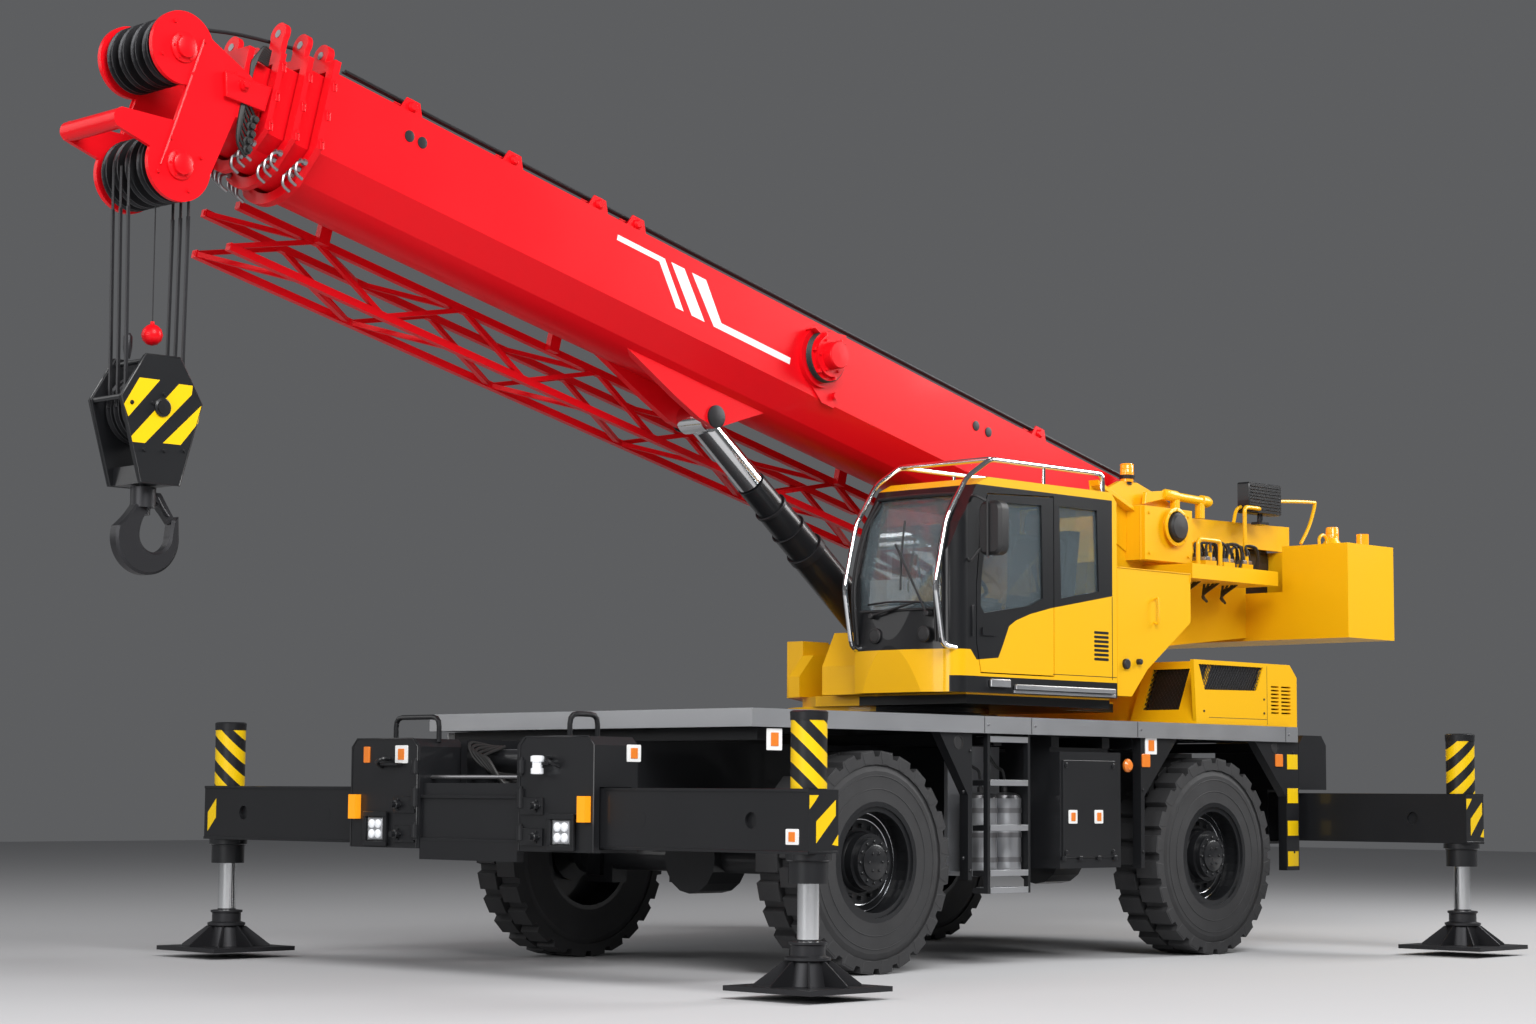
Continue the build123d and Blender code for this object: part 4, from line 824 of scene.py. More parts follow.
cap = [(0, 0.036), (0.018, 0.036), (0.024, 0.028), (0.024, 0.0)]
caps = [lathe(cap, at(-0.87, HOUSING_SIDE, 2.0), LEFT, 24),
        lathe([(0, 0.020), (0.03, 0.020), (0.035, 0.014)], at(-1.01, HOUSING_SIDE, 2.02), LEFT, 18)]
piece("housing_caps", caps, TURNING, plastic)
grip = ((1.40, 2.30), (1.44, 2.30), (1.44, 2.46), (1.40, 2.46))
handle = bent([(-1.20, y, z) for y, z in grip], 0.008, 8, 4)
piece("housing_trim", [upright(LIP, HOUSING_SIDE, 0.006, 0.002), handle], TURNING, yellow)
print("pivot box", MADE["pivot_trim"], "faces")

# %% Tilting cylinder, floodlight and deck pipes
TILT = [(0, 0.030), (0.02, 0.042), (0.16, 0.042), (0.165, 0.033), (0.48, 0.033), (0.485, 0.045),
        (0.56, 0.045), (0.60, 0.030)]
LOOPS = [
    [(-3.38, 0.55, 3.20), (-3.42, 0.55, 3.30), (-3.50, 0.55, 3.335), (-3.62, 0.55, 3.345)],
    [(-3.90, 0.55, 3.40), (-4.10, 0.55, 3.42), (-4.46, 0.55, 3.44), (-4.50, 0.55, 3.42),
     (-4.42, 0.55, 3.25), (-4.30, 0.55, 3.10)],
]
BEACONS = [(-2.20, 0.42, 3.43, 0.13), (-4.21, 0.90, 3.025, 0.17)]      # x, y, foot and height
BEACON_FOOT = [(-0.02, 0.035), (0.02, 0.035), (0.022, 0.056), (0.045, 0.060), (0.052, 0.052)]
WEIGHT_RING = [(0, 0.095), (0.012, 0.095), (0.014, 0.07), (0.03, 0.07), (0.034, 0.05)]
WEIGHT_CAP = [(0, 0.085), (0.02, 0.085), (0.05, 0.06), (0.075, 0.045), (0.08, 0.0)]
EYE_LOOP = [(-3.90, 1.05, 3.02), (-3.90, 1.05, 3.08), (-3.85, 1.05, 3.11), (-3.80, 1.05, 3.08),
            (-3.80, 1.05, 3.02)]

rails = [lathe(TILT, at(-2.54, 0.50, 3.36), (-1, 0, -0.03), 20),
         slab((-2.72, -2.66), (0.47, 0.53), (3.24, 3.34), 0.006),
         slab((-3.04, -2.98), (0.47, 0.53), (3.21, 3.33), 0.006),
         upright([(-2.30, 3.27), (-2.58, 3.33), (-2.58, 3.39), (-2.32, 3.36)], 0.48, 0.03, 0.004),
         bent(LOOPS[0], 0.014, 8, 4), bent(LOOPS[1], 0.014)]
piece("deck_rails", rails, TURNING, yellow)

floodlight = [upright(rectangle(0.44, 0.24, 0.018, 3) + (-3.70, 3.405), 0.52, 0.11, 0.008)]
floodlight += [upright(rectangle(0.40, 0.006) + (-3.70, 3.32 + 0.025 * k), 0.63, 0.006, 0.001)
               for k in range(8)]
floodlight += [tube([at(-3.70, 0.575, 3.21), at(-3.70, 0.575, 3.30)], 0.022, 12),
               slab((-3.76, -3.64), (0.53, 0.62), (3.205, 3.225))]
piece("floodlight_box", floodlight, TURNING, black)

stands, glows, collars = [], [], []
for x, y, foot, height in BEACONS:
    base = at(x, y, foot)
    dome = [(0.045, 0.0515), (height - 0.01, 0.050), (height + 0.006, 0.044), (height + 0.012, 0.0)]
    stands.append(lathe(BEACON_FOOT, base, UP, 28))
    glows.append(lathe(dome, base, UP, 28))
    for low in (0.065, 0.095, 0.125):
        collars.append(lathe([(low, 0.0515), (low + 0.003, 0.0535), (low + 0.006, 0.0515)], base, UP, 28))
piece("beacon_stands", stands, TURNING, plastic)
piece("beacon_domes", [*glows, *collars], TURNING, amber)
eye = bent(EYE_LOOP, 0.012, 8, 4)
weight_trim = [lathe(WEIGHT_RING, at(-4.21, 0.90, 3.025), UP, 28),
               lathe(WEIGHT_CAP, at(-4.05, 1.0, 3.025), UP, 24), eye, mirror_y(eye)]
piece("weight_trim", weight_trim, TURNING, yellow)
print("beacons", len(stands))

# %% Valve tray
VALVE_ROWS = (-3.35, -3.11, -2.87)
PIPE_CLAMPS = (-2.45, -2.60, -2.75, -2.98, -3.22)
MOTOR = [(0, 0.075), (0.02, 0.09), (0.12, 0.09), (0.13, 0.06), (0.26, 0.06), (0.28, 0.045)]
PIPE_PORT = [(0, 0.022), (0.02, 0.022), (0.022, 0.016), (0.035, 0.016)]
MOTOR_END = [(0, 0.05), (0.10, 0.05), (0.11, 0.07), (0.16, 0.07)]

rng = np.random.default_rng(5)
fittings, hoses, spools = [], [], []
for x in VALVE_ROWS:
    fittings.append(slab((x - 0.065, x + 0.065), (0.50, 0.70), (2.872, 2.90), 0.006))
    for k in range(4):
        y = 0.53 + 0.048 * k
        fittings.append(lathe([(0, 0.016), (0.018, 0.016), (0.020, 0.011), (0.045, 0.011)],
                              at(x - 0.03, y, 2.90), UP, 6))
        fittings.append(lathe([(0, 0.014), (0.020, 0.014), (0.022, 0.010), (0.05, 0.010)],
                              at(x + 0.07, y, 2.80), FORWARD, 6))
        spools.append(lathe([(0, 0.017), (0.03, 0.017), (0.035, 0.012), (0.06, 0.012)],
                            at(x + 0.03, y, 2.90), UP, 12))
        sway = 0.05 * rng.standard_normal(3)
        hoses.append(bent([(x - 0.03, y, 2.94), (x - 0.04 + sway[0] * 0.3, y, 3.01),
                           (x - 0.12 + sway[1], y + 0.03, 3.00), (x - 0.16 + sway[1], y + 0.02, 2.90),
                           (x - 0.15, y - 0.02, 2.80), (x - 0.16, 0.46, 2.76)], 0.010, 7))
        hoses.append(bent([(x + 0.12, y, 2.80), (x + 0.17, y + 0.01, 2.80 + sway[2] * 0.4),
                           (x + 0.19, 0.60 + 0.05 * k, 2.72), (x + 0.15, 0.56, 2.62),
                           (x + 0.02, 0.50, 2.58)], 0.010, 7))
piece("valve_fittings", fittings, TURNING, steel)
piece("valve_caps", spools, TURNING, plastic)

for k in range(5):
    y = 0.60 + 0.10 * k
    hoses.append(bent([(-0.80, y, 2.69), (-1.10, y + 0.02, 2.70), (-1.45, y, 2.695), (-1.66, y - 0.08, 2.66),
                       (-1.80, 0.50, 2.50)], 0.014))
for k in range(6):
    x = -1.78 - 0.10 * k
    hoses.append(bent([(x, 0.45, 2.72 - 0.01 * k), (x - 0.02, 0.56 + 0.02 * (k % 3), 2.62),
                       (x - 0.08, 0.60, 2.50 - 0.02 * k), (x - 0.22, 0.56, 2.44 + 0.02 * (k % 2)),
                       (x - 0.40, 0.45, 2.50)], 0.013))
piece("deck_hoses", hoses, TURNING, hose)
motor = [lathe(MOTOR, at(-1.95, 0.62, 2.56), -FORWARD, 20),
         lathe(MOTOR_END, at(-2.45, 0.60, 2.53), -FORWARD, 20),
         bolt_circle(at(-1.95, 0.62, 2.56), FORWARD, 0.065, 6, 0.008, 0.012),
         slab((-2.42, -2.20), (0.45, 0.64), (2.44, 2.62), 0.008)]
piece("swing_motor", motor, TURNING, iron)
pipes = []
for x in PIPE_CLAMPS:
    pipes.append(bent([(x, 0.44, 3.02), (x, 0.50, 3.03), (x - 0.01, 0.53, 2.98), (x - 0.06, 0.53, 2.93),
                       (x - 0.10, 0.50, 2.92), (x - 0.12, 0.44, 2.92)], 0.013))
    pipes.append(lathe(PIPE_PORT, at(x, 0.44, 3.02), LEFT, 6))
piece("tray_pipes", pipes, TURNING, yellow)
print("hoses", len(hoses))

# %% Winch rope
DRUMS = [(-3.30, 2.70), (-3.90, 2.93)]      # x and z of each drum's axle
WRAPS = 22
DRUM_R = 0.200
DRUM_HALF = 0.31

coils, flanges = [], []
for x, z in DRUMS:
    turns = np.linspace(0, 2 * np.pi * WRAPS, WRAPS * 14 + 1)
    across = np.linspace(-DRUM_HALF, DRUM_HALF, len(turns))
    path = at(x, 0, z) + np.stack([DRUM_R * np.cos(turns), across, DRUM_R * np.sin(turns)], -1)
    coils.append(tube(path, 0.013, 6))
    flanges += [bolt_circle(at(x, side * 0.352, z), side * LEFT, 0.17, 8, 0.010, 0.012) for side in SIDES]
piece("winch_rope", coils, TURNING, wire)
piece("winch_bolts", flanges, TURNING, black)
print("rope wraps", len(coils) * WRAPS)

# %% [markdown]
# ## Repeats round an axle, and wire mesh
# `spin` turns a shape about an axle with the usual rotation formula.  `mesh_in` lays two families of straight
# wires over a convex window: each wire is cut where it meets the window's sides.

# %% Repeat helpers
def spin(shape, centre, axis, turns):
    """Copies of a shape turned about an axis by each angle."""
    points, faces = shape
    axis = unit(axis)
    arm = points - centre
    shapes = []
    for turn in turns:
        c, s = np.cos(turn), np.sin(turn)
        turned = c * arm + s * np.cross(axis, arm) + (1 - c) * (arm @ axis)[:, None] * axis
        shapes.append((turned + centre, faces))
    return merge(*shapes)


def mesh_in(window, base, right_way, up_way, gap=0.024, radius=0.003, slants=(0.9, -0.9)):
    """Wires that cross a convex window at two slants."""
    window = np.asarray(window, float)
    right_way, up_way = unit(right_way), unit(up_way)
    wires = []
    for slant in slants:
        normal = np.array([-np.sin(slant), np.cos(slant)])
        reach = window @ normal
        for level in np.arange(reach.min() + gap / 2, reach.max(), gap):
            cuts = []
            for a, b in zip(window, np.roll(window, -1, 0)):
                da, db = a @ normal - level, b @ normal - level
                if da * db < 0:
                    cuts.append(a + (b - a) * da / (da - db))
            if len(cuts) == 2 and np.linalg.norm(cuts[0] - cuts[1]) > 0.01:
                path = [np.asarray(base) + u * right_way + v * up_way for u, v in cuts]
                wires.append(tube(path, radius, 4))
    return wires


# %% Hood
HOOD_SIDE = 1.43
FACE_X, FACE_Z = -1.64, 1.606            # the foot of the hood's sloping front face
FACE_WAY = unit((-0.21, 0.0, 0.454))     # up that face
# The dark sheet behind each window of wires is painted shade for the inside of the hood.
MESH_IN, BACK_IN = 0.012, 0.04           # how far the wires and the dark sheet behind them stand in
SIDE_WINDOW = np.array([(-1.68, 2.03), (-2.47, 2.03), (-2.39, 1.86), (-1.75, 1.85)])
FRONT_WINDOW = np.array([(0.93, 0.115), (1.25, 0.115), (1.25, 0.435), (0.93, 0.435)])

grids, shade_sheets, seams = [], [], []
face_base = at(FACE_X - MESH_IN, 0, FACE_Z)
for side in SIDES:
    window = FRONT_WINDOW * (side, 1)
    grids += mesh_in(SIDE_WINDOW, at(0, side * (HOOD_SIDE - MESH_IN), 0), FORWARD, UP)
    grids += mesh_in(window, face_base, LEFT, FACE_WAY)
    shade_sheets.append(upright(SIDE_WINDOW, side * (HOOD_SIDE - BACK_IN), -side * 0.002, 0.0))
    shade_sheets.append(plate(window, face_base - BACK_IN * FORWARD, LEFT, FACE_WAY, 0.002, 0.0))
    for ends in ((-2.52, 1.62, -2.517, 2.04), (-1.80, 1.655, -2.52, 1.658)):
        seams.append(upright(oblong(*ends), side * HOOD_SIDE, side * 0.001, 0.0))
    for x, z in ((-2.48, 1.80), (-2.48, 1.70), (-1.74, 1.70)):
        seams.append(bolt(at(x, side * HOOD_SIDE, z), side * LEFT, 0.007, 0.006))
piece("hood_mesh", grids, "carrier", iron)
# The black sheets behind the mesh are painted shade, not a part of the hood.
piece("hood_mesh_backs", shade_sheets, "carrier", plastic)
piece("hood_seams", seams, "carrier", plastic)
print("mesh wires", len(grids))

# %% [markdown]
# ## Front end
# The front carries square work lamps in frames, reflectors, hinges and pipes.  A lamp is a frame, a bezel
# and a grid of four bowls.

# %% Front end
FRONT_X = 3.80           # the cheeks' front face
LAMP_Y, LAMP_Z = 0.86, 0.87
LAMP_BOWL = [(0.012, 0.028), (0.020, 0.026), (0.026, 0.016), (0.028, 0.0)]
LAMP_FRAME = [           # y and height of each bar's two corners, about the lamp's middle
    (-0.115, -0.105, 0.115, -0.075), (-0.115, 0.075, 0.115, 0.105),
    (-0.115, -0.075, -0.085, 0.075), (0.085, -0.075, 0.115, 0.075),
]
SIDE_PANEL = 1.466       # y of the plates that carry the side reflectors
REFLECTORS = [           # place, the way its width runs, width, height; the first is only on the right
    (at(FRONT_X, -0.628, 1.328), LEFT, 0.12, 0.11), (at(3.49, 1.12, 1.33), -FORWARD, 0.11, 0.10),
    (at(2.67, SIDE_PANEL, 1.423), -FORWARD, 0.13, 0.13),
    (at(-1.061, SIDE_PANEL, 1.445), -FORWARD, 0.13, 0.12),
    (at(-0.181, 1.477, 0.96), -FORWARD, 0.09, 0.09), (at(-0.46, 1.477, 0.96), -FORWARD, 0.09, 0.09),
]
FILTER = [(0, 0.030), (0.004, 0.038), (0.035, 0.038), (0.038, 0.030), (0.07, 0.030), (0.074, 0.040),
          (0.105, 0.040), (0.11, 0.03)]
SIDE_LAMP = [(0, 0.045), (0.015, 0.045), (0.03, 0.03), (0.034, 0.0)]
HINGE_CAP = [(0, 0.026), (0.03, 0.026), (0.034, 0.018), (0.06, 0.018)]
CHEEK_EDGE = [(0.475, 0.757), (0.475, 1.375), (0.525, 1.425), (1.07, 1.425), (1.12, 1.375), (1.12, 0.757)]


def reflector(spot, right_way, width, height):
    """A white plate with an orange square, as two shapes."""
    out = np.cross(unit(right_way), UP)
    back = plate(rectangle(width, height, 0.006, 2), spot, right_way, UP, 0.006, 0.001)
    square = rectangle(width * 0.5, height * 0.62, 0.003, 2)
    face = plate(square, spot + 0.006 * out, right_way, UP, 0.003, 0.001)
    return back, face


orange = Paint("orange_reflector", (0.85, 0.22, 0.02), 0.3, coat=0.4)
lamp_face = Paint("lamp_face", (0.75, 0.76, 0.78), 0.12, coat=0.6)
# The lamp face glows.  That suits the work lamps, but the front filter wears it too, and there the glow is
# painted light.
lamp_face.set("Emission Color", (0.9, 0.95, 1.0, 1.0))
lamp_face.set("Emission Strength", 0.25)

bowls, bezels, blacks = [], [], []
for side in SIDES:
    spot = at(FRONT_X + 0.004, side * LAMP_Y, LAMP_Z)
    for y0, z0, y1, z1 in LAMP_FRAME:
        blacks.append(block(spot + (0.0, y0, z0), spot + (0.022, y1, z1), 0.003))
    bezels.append(plate(rectangle(0.135, 0.135, 0.012, 3), spot, LEFT, UP, 0.012))
    bowls += [lathe(LAMP_BOWL, spot + (0, dy, dz), FORWARD, 16)
              for dy in (-0.031, 0.031) for dz in (-0.031, 0.031)]
piece("work_lamp_bowls", bowls, "carrier", lamp_face)
piece("work_lamp_bezels", bezels, "carrier", silver)

whites, oranges = [list(shapes) for shapes in zip(*(reflector(*mark) for mark in REFLECTORS))]
for x, z in ((-1.003, 1.342), (-2.605, 1.362)):
    oranges.append(plate(rectangle(0.09, 0.09, 0.008, 3), at(x, SIDE_PANEL, z), -FORWARD, UP, 0.008, 0.002))
oranges.append(plate(rectangle(0.055, 0.10, 0.006, 2), at(FRONT_X, -0.968, 1.327), LEFT, UP, 0.010, 0.002))
oranges.append(lathe(SIDE_LAMP, at(-0.825, 1.44, 1.306), LEFT, 20))
whites += [mirror_y(shape) for shape in whites[1:]]
oranges += [mirror_y(shape) for shape in oranges[1:6]]
piece("reflector_plates", whites, "carrier", white)
piece("reflector_faces", oranges, "carrier", orange)
# The filter can wears the glowing lamp face paint, so it glows faintly though it is no lamp: a painted glow.
can = lathe(FILTER, at(FRONT_X + 0.055, 0.69, 1.205), UP, 20)
piece("front_filter", [can], "carrier", lamp_face)

for side in SIDES:
    for z in (1.02, 0.84):
        hinge = at(FRONT_X + 0.012, side * 0.64, z)
        leaf = slab((FRONT_X, FRONT_X + 0.012), (side * 0.49, side * 0.69), (z - 0.05, z + 0.05), 0.003)
        blacks.append(leaf)
        blacks.append(bolt_circle(hinge, FORWARD, 0.030, 4, 0.007, 0.010))
        blacks.append(lathe(HINGE_CAP, hinge, FORWARD, 18))
    blacks.append(bent([(FRONT_X, side * 0.75, 1.30), (FRONT_X + 0.05, side * 0.76, 1.30),
                        (FRONT_X + 0.06, side * 0.80, 1.28), (FRONT_X, side * 0.82, 1.25)], 0.012, 8, 4))
    blacks.append(slab((FRONT_X, FRONT_X + 0.05), (side * 0.62, side * 0.78), (1.26, 1.275), 0.003))
    blacks.append(tube([at(FRONT_X, side * y, z) for y, z in CHEEK_EDGE], 0.006, 6))
for z in (1.075, 0.815):
    blacks.append(slab((FRONT_X - 0.035, FRONT_X - 0.003), (-0.45, 0.45), (z - 0.012, z + 0.006), 0.003))
piece("front_fittings", blacks, "carrier", black)

pipes = []
for k in range(5):
    y = -0.36 + 0.03 * k
    pipes.append(bent([(3.30, y, 1.38), (3.48, y, 1.40 - 0.02 * k), (3.52, y + 0.1, 1.30),
                       (3.47, y + 0.22, 1.22 - 0.02 * k), (3.30, y + 0.25, 1.20)], 0.011, 7))
    pipes.append(bent([(3.35, y + 0.02, 1.15), (3.45, y + 0.05, 1.10), (3.40, y + 0.2, 1.05 + 0.02 * k),
                       (3.20, y + 0.25, 1.00)], 0.010, 7))
piece("front_hoses", pipes, "carrier", hose)
bar = tube([at(3.70, -0.45, 1.19), at(3.70, 0.45, 1.19)], 0.013, 10)
piece("front_bar", [bar], "carrier", steel)
print("reflectors", len(oranges))

# %% Beams
BEAM_HALF = 0.117
BEAM_END = 2.764
BEAM_HOLE = (1.45, 0.955)        # y and height of the inner pin hole, which a flush plug closes
END_BANDS = [                    # (ahead of the beam's middle, height)
    [(-0.095, 1.069), (-0.095, 0.985), (0.059, 0.837), (0.059, 0.954)],
    [(-0.115, 0.882), (-0.115, 0.822), (-0.068, 0.828)],
    [(0.112, 1.095), (0.112, 1.02), (0.07, 1.06), (0.04, 1.095)],
]
RIGHT_MARK = [(-2.725, 0.83), (-2.635, 0.92), (-2.635, 1.045), (-2.725, 0.955)]      # y, height
for name, end, side in CORNERS:
    x, outer, body = BEAM_X[end], side * BEAM_END, f"beam_{name}"
    front = x + end * BEAM_HALF
    bands = [upright(np.array(band) + (x, 0), outer, side * 0.0015, 0.0) for band in END_BANDS]
    piece(f"beam_end_bands_{name}", bands, body, hazard_yellow)
    trims = [slab((front, front + end * 0.006), (side * 1.15, outer), (z - 0.008, z + 0.008), 0.002)
             for z in (0.786, 1.121)]
    trims.append(slab((x - BEAM_HALF, x + BEAM_HALF), (outer, outer + side * 0.004), (0.782, 0.796), 0.001))
    trims.append(lathe([(0, 0.048), (0.001, 0.048)], at(x + BEAM_HALF, side * BEAM_HOLE[0], BEAM_HOLE[1]),
                       FORWARD, 28))
    piece(f"beam_trim_{name}", trims, body, black)
    if name == "fr":
        piece("beam_mark_fr", [facing(RIGHT_MARK, front, 0.0015, 0.0)], body, hazard_yellow)
        continue
    back, face = reflector(at(front, side * 2.645, 0.87), end * LEFT, 0.095, 0.085)
    piece(f"beam_plate_{name}", [back], body, white)
    piece(f"beam_mark_{name}", [face], body, orange)
print("beams", len(CORNERS))

# %% [markdown]
# ## Hook block and head
# The block's cheeks carry yellow bands; between them hang the rope falls.  Every band is a polygon in the
# cheek's own plane, cut where the cheek ends.

# %% Hook block
BLOCK_X = 6.149        # metres ahead of the slewing axis
BLOCK_Y = 0.16
BLOCK_BANDS = [        # (off the block's middle, height)
    [(0.150, 3.330), (0.018, 3.330), (0.215, 3.110), (0.245, 3.175)],
    [(-0.105, 3.320), (-0.195, 3.320), (-0.190, 3.270), (0.105, 2.975), (0.185, 2.975), (0.193, 3.005)],
    [(-0.255, 3.215), (-0.235, 3.115), (-0.125, 2.985), (-0.010, 2.985)],
]
BLOCK_BOLTS = ((0.195, 3.19), (0.06, 3.20), (-0.01, 3.255), (0.11, 2.94), (-0.02, 2.945), (-0.15, 2.955))
BLOCK_EDGE = [(-0.11, 3.465), (0.11, 3.465), (0.26, 3.222), (0.125, 2.76), (-0.125, 2.76), (-0.26, 3.222),
              (-0.11, 3.465)]
BLOCK_PIN = [(0, 0.052), (0.010, 0.052), (0.014, 0.040), (0.026, 0.040), (0.028, 0.0)]
BALL = [(-0.06, 0.0), (-0.052, 0.030), (-0.03, 0.052), (0.0, 0.060), (0.03, 0.052), (0.052, 0.030),
        (0.06, 0.012), (0.075, 0.012)]
ROPE_SOCKET = [(0, 0.016), (0.06, 0.026), (0.12, 0.026), (0.14, 0.014)]

bands, fittings = [], []
for side in SIDES:
    bands += [upright(np.array(band) + (BLOCK_X, 0), side * BLOCK_Y, side * 0.0012, 0.0)
              for band in BLOCK_BANDS]
    fittings += [bolt(at(BLOCK_X + u, side * BLOCK_Y, z), side * LEFT, 0.010, 0.012) for u, z in BLOCK_BOLTS]
    fittings.append(lathe(BLOCK_PIN, at(BLOCK_X, side * BLOCK_Y, 3.18), side * LEFT, 24))
    fittings.append(tube([at(BLOCK_X + u, side * (BLOCK_Y - 0.003), z) for u, z in BLOCK_EDGE], 0.0055, 6))
piece("block_bands", bands, "block", hazard_yellow)
piece("block_fittings", fittings, "block", black)
pins = [bolt(at(BLOCK_X, side * 0.052, 2.645), side * LEFT, 0.016, 0.014) for side in SIDES]
latch = bent([(BLOCK_X - 0.075, -0.03, 2.70), (BLOCK_X - 0.11, -0.035, 2.64), (BLOCK_X - 0.15, -0.030, 2.60)],
             0.006, 6)
piece("hook_nut", [*pins, latch, mirror_y(latch)], "hook", iron)
piece("limit_weight", [lathe(BALL, at(BLOCK_X - 0.03, 0.0, 3.60), UP, 24)], "block", red)
line = tube([at(BLOCK_X - 0.03, 0.0, 3.67), at(BLOCK_X - 0.03, 0.0, 4.40)], 0.004, 6)
piece("limit_line", [line], "block", wire)
socket = lathe(ROPE_SOCKET, at(BLOCK_X + 0.10, -0.04, 3.46), UP, 14)
piece("rope_socket", [socket], "block", iron)
print("block bands", len(bands))

# %% Boom head
HEAD_Y = 0.265
SHEAVE_PINS = [(8.887, 0.026), (8.742, -0.614)]      # metres along the boom, above its pivot line
PIN_CAP = [(0, 0.085), (0.012, 0.085), (0.016, 0.078), (0.020, 0.060), (0.040, 0.060), (0.045, 0.050)]
CHEEK_RIM = [(8.86, -0.66), (8.79, -0.02), (8.775, 0.12)]
ARM_RIM = [(8.61, 0.0), (8.30, 0.03), (8.31, -0.11), (8.57, -0.13), (8.61, 0.0)]
HEAD_PLUG = [(0, 0.030), (0.012, 0.030), (0.015, 0.018), (0.036, 0.018), (0.038, 0.0)]
COLLARS = [      # body, metres along the boom to its mouth, half its width
    ("boom", 7.98, 0.38), ("tele_1", 8.13, 0.342), ("tele_2", 8.29, 0.304),
]
COLLAR_PORT = [(0, 0.020), (0.02, 0.020), (0.022, 0.013), (0.045, 0.013)]
COLLAR_BEND = ((0.03, 0), (0.06, 0.03), (0.05, 0.08), (0, 0.10))     # ahead of the mouth, below the port

pins, edges, darks = [], [], []
for side in SIDES:
    out = side * LEFT
    for along, height in SHEAVE_PINS:
        spot = on_boom(along, side * HEAD_Y, height)
        pins.append(lathe(PIN_CAP, spot, out, 28))
        pins.append(bolt_circle(spot + 0.012 * out, out, 0.070, 6, 0.008, 0.012))
        pins.append(bolt_circle(spot, out, 0.150, 4, 0.010, 0.012, 0.4))
    edges.append(tube([on_boom(u, side * (HEAD_Y + 0.002), w) for u, w in CHEEK_RIM], 0.008, 8))
    edges.append(tube([on_boom(u, side * (HEAD_Y + 0.026), w) for u, w in ARM_RIM], 0.007, 6))
    pins.append(bolt(on_boom(8.48, side * (HEAD_Y + 0.05), -0.03), out, 0.022, 0.02))
    for k in range(8):
        top, foot = 0.25 - 0.012 * k, -0.40 + 0.035 * k
        path = [on_boom(8.33, side * 0.255, top), on_boom(8.40 + 0.006 * k, side * 0.268, top - 0.02),
                on_boom(8.445 - 0.005 * k, side * 0.270, -0.05), on_boom(8.43, side * 0.272, foot + 0.08),
                on_boom(8.34, side * 0.255, foot)]
        darks.append(tube(curve(path, 5), 0.009, 6))
    for k in range(5):
        spot = on_boom(8.345 + 0.012 * (k % 2), side * 0.258, -0.18 - 0.045 * k)
        darks.append(lathe(HEAD_PLUG, spot, out, 8))
piece("head_pins", pins, "head", red)
piece("head_edges", edges, "head", red)
piece("head_hoses", darks, "head", hose)

for body, mouth, half in COLLARS:
    studs, steels = [], []
    for side in SIDES:
        for w in (0.20, 0.02, -0.16):
            studs.append(bolt(on_boom(mouth - 0.03, side * half, w), side * LEFT, 0.011, 0.014))
            studs.append(block(on_boom(mouth - 0.055, side * half, w - 0.045) - (0, 0.006, 0),
                               on_boom(mouth - 0.02, side * half, w - 0.02) + (0, 0.006, 0.02), 0.003))
        eye = on_boom(mouth - 0.02, side * 0.225, 0.385)
        steels.append(lathe([(-0.02, 0.024), (0.024, 0.024)], eye, BOOM_U, 16))
        for k in range(3):
            spot = on_boom(mouth + 0.002, side * (half - 0.06 - 0.05 * k), -0.30 - 0.03 * k)
            bend = [spot + u * BOOM_U - w * BOOM_W for u, w in COLLAR_BEND]
            steels += [lathe(COLLAR_PORT, spot, BOOM_U, 6), tube(curve(bend, 4), 0.009, 6)]
    piece(f"{body}_collar_studs", studs, body, red)
    piece(f"{body}_collar_fittings", steels, body, steel)

lower = on_boom(SHEAVE_PINS[1][0], 0.0, SHEAVE_PINS[1][1])
falls = [tube([at(BLOCK_X + way * 0.196, y, 4.27), lower + (way * 0.197, y, 0.0)], 0.008, 6)
         for y in (-0.075, 0.0, 0.075) for way in (1, -1)]
piece("fall_ends", falls, "block", wire)
rope = [on_boom(8.02, 0.16, 0.40), on_boom(8.45, 0.10, 0.33), on_boom(8.80, 0.06, 0.225)]
piece("head_rope", [tube(curve(rope, 4), ROPE_R, 8)], "head", wire)
print("collars", len(COLLARS))

# %% Cable reel
REEL = on_boom(3.69, BOOM_HALF, 0.06)
REEL_CAP = [(0.120, 0.092), (0.185, 0.092), (0.195, 0.085), (0.198, 0.0)]

coil = [lathe([(along, 0.168), (along + 0.006, 0.174), (along + 0.012, 0.168)], REEL, LEFT, 40)
        for along in 0.040 + 0.012 * np.arange(4)]
piece("reel_cable", coil, "boom", hose)
cover = [lathe(REEL_CAP, REEL, LEFT, 36), bolt_circle(REEL + 0.120 * LEFT, LEFT, 0.115, 6, 0.009, 0.012)]
for turn in circle(6):
    spot = REEL + 0.15 * (np.cos(turn) * BOOM_U + np.sin(turn) * BOOM_W)
    cover.append(block(spot + (-0.012, 0.036, -0.012), spot + (0.012, 0.115, 0.012), 0.003))
piece("reel_cover", cover, "boom", red)

# %% Lift cylinder
GLANDS = [      # body, metres from the cylinder's foot to its mouth, radius, depth
    ("lift_barrel", 1.40, 0.130, 0.060), ("lift_stage_1", 1.60, 0.120, 0.007),
    ("lift_stage_2", 1.82, 0.110, 0.024),
]
ROD_PIN = (1.879, 3.545)         # x and height
ROD_CAP = [(0.16, 0.075), (0.175, 0.075), (0.180, 0.060), (0.180, 0.0)]

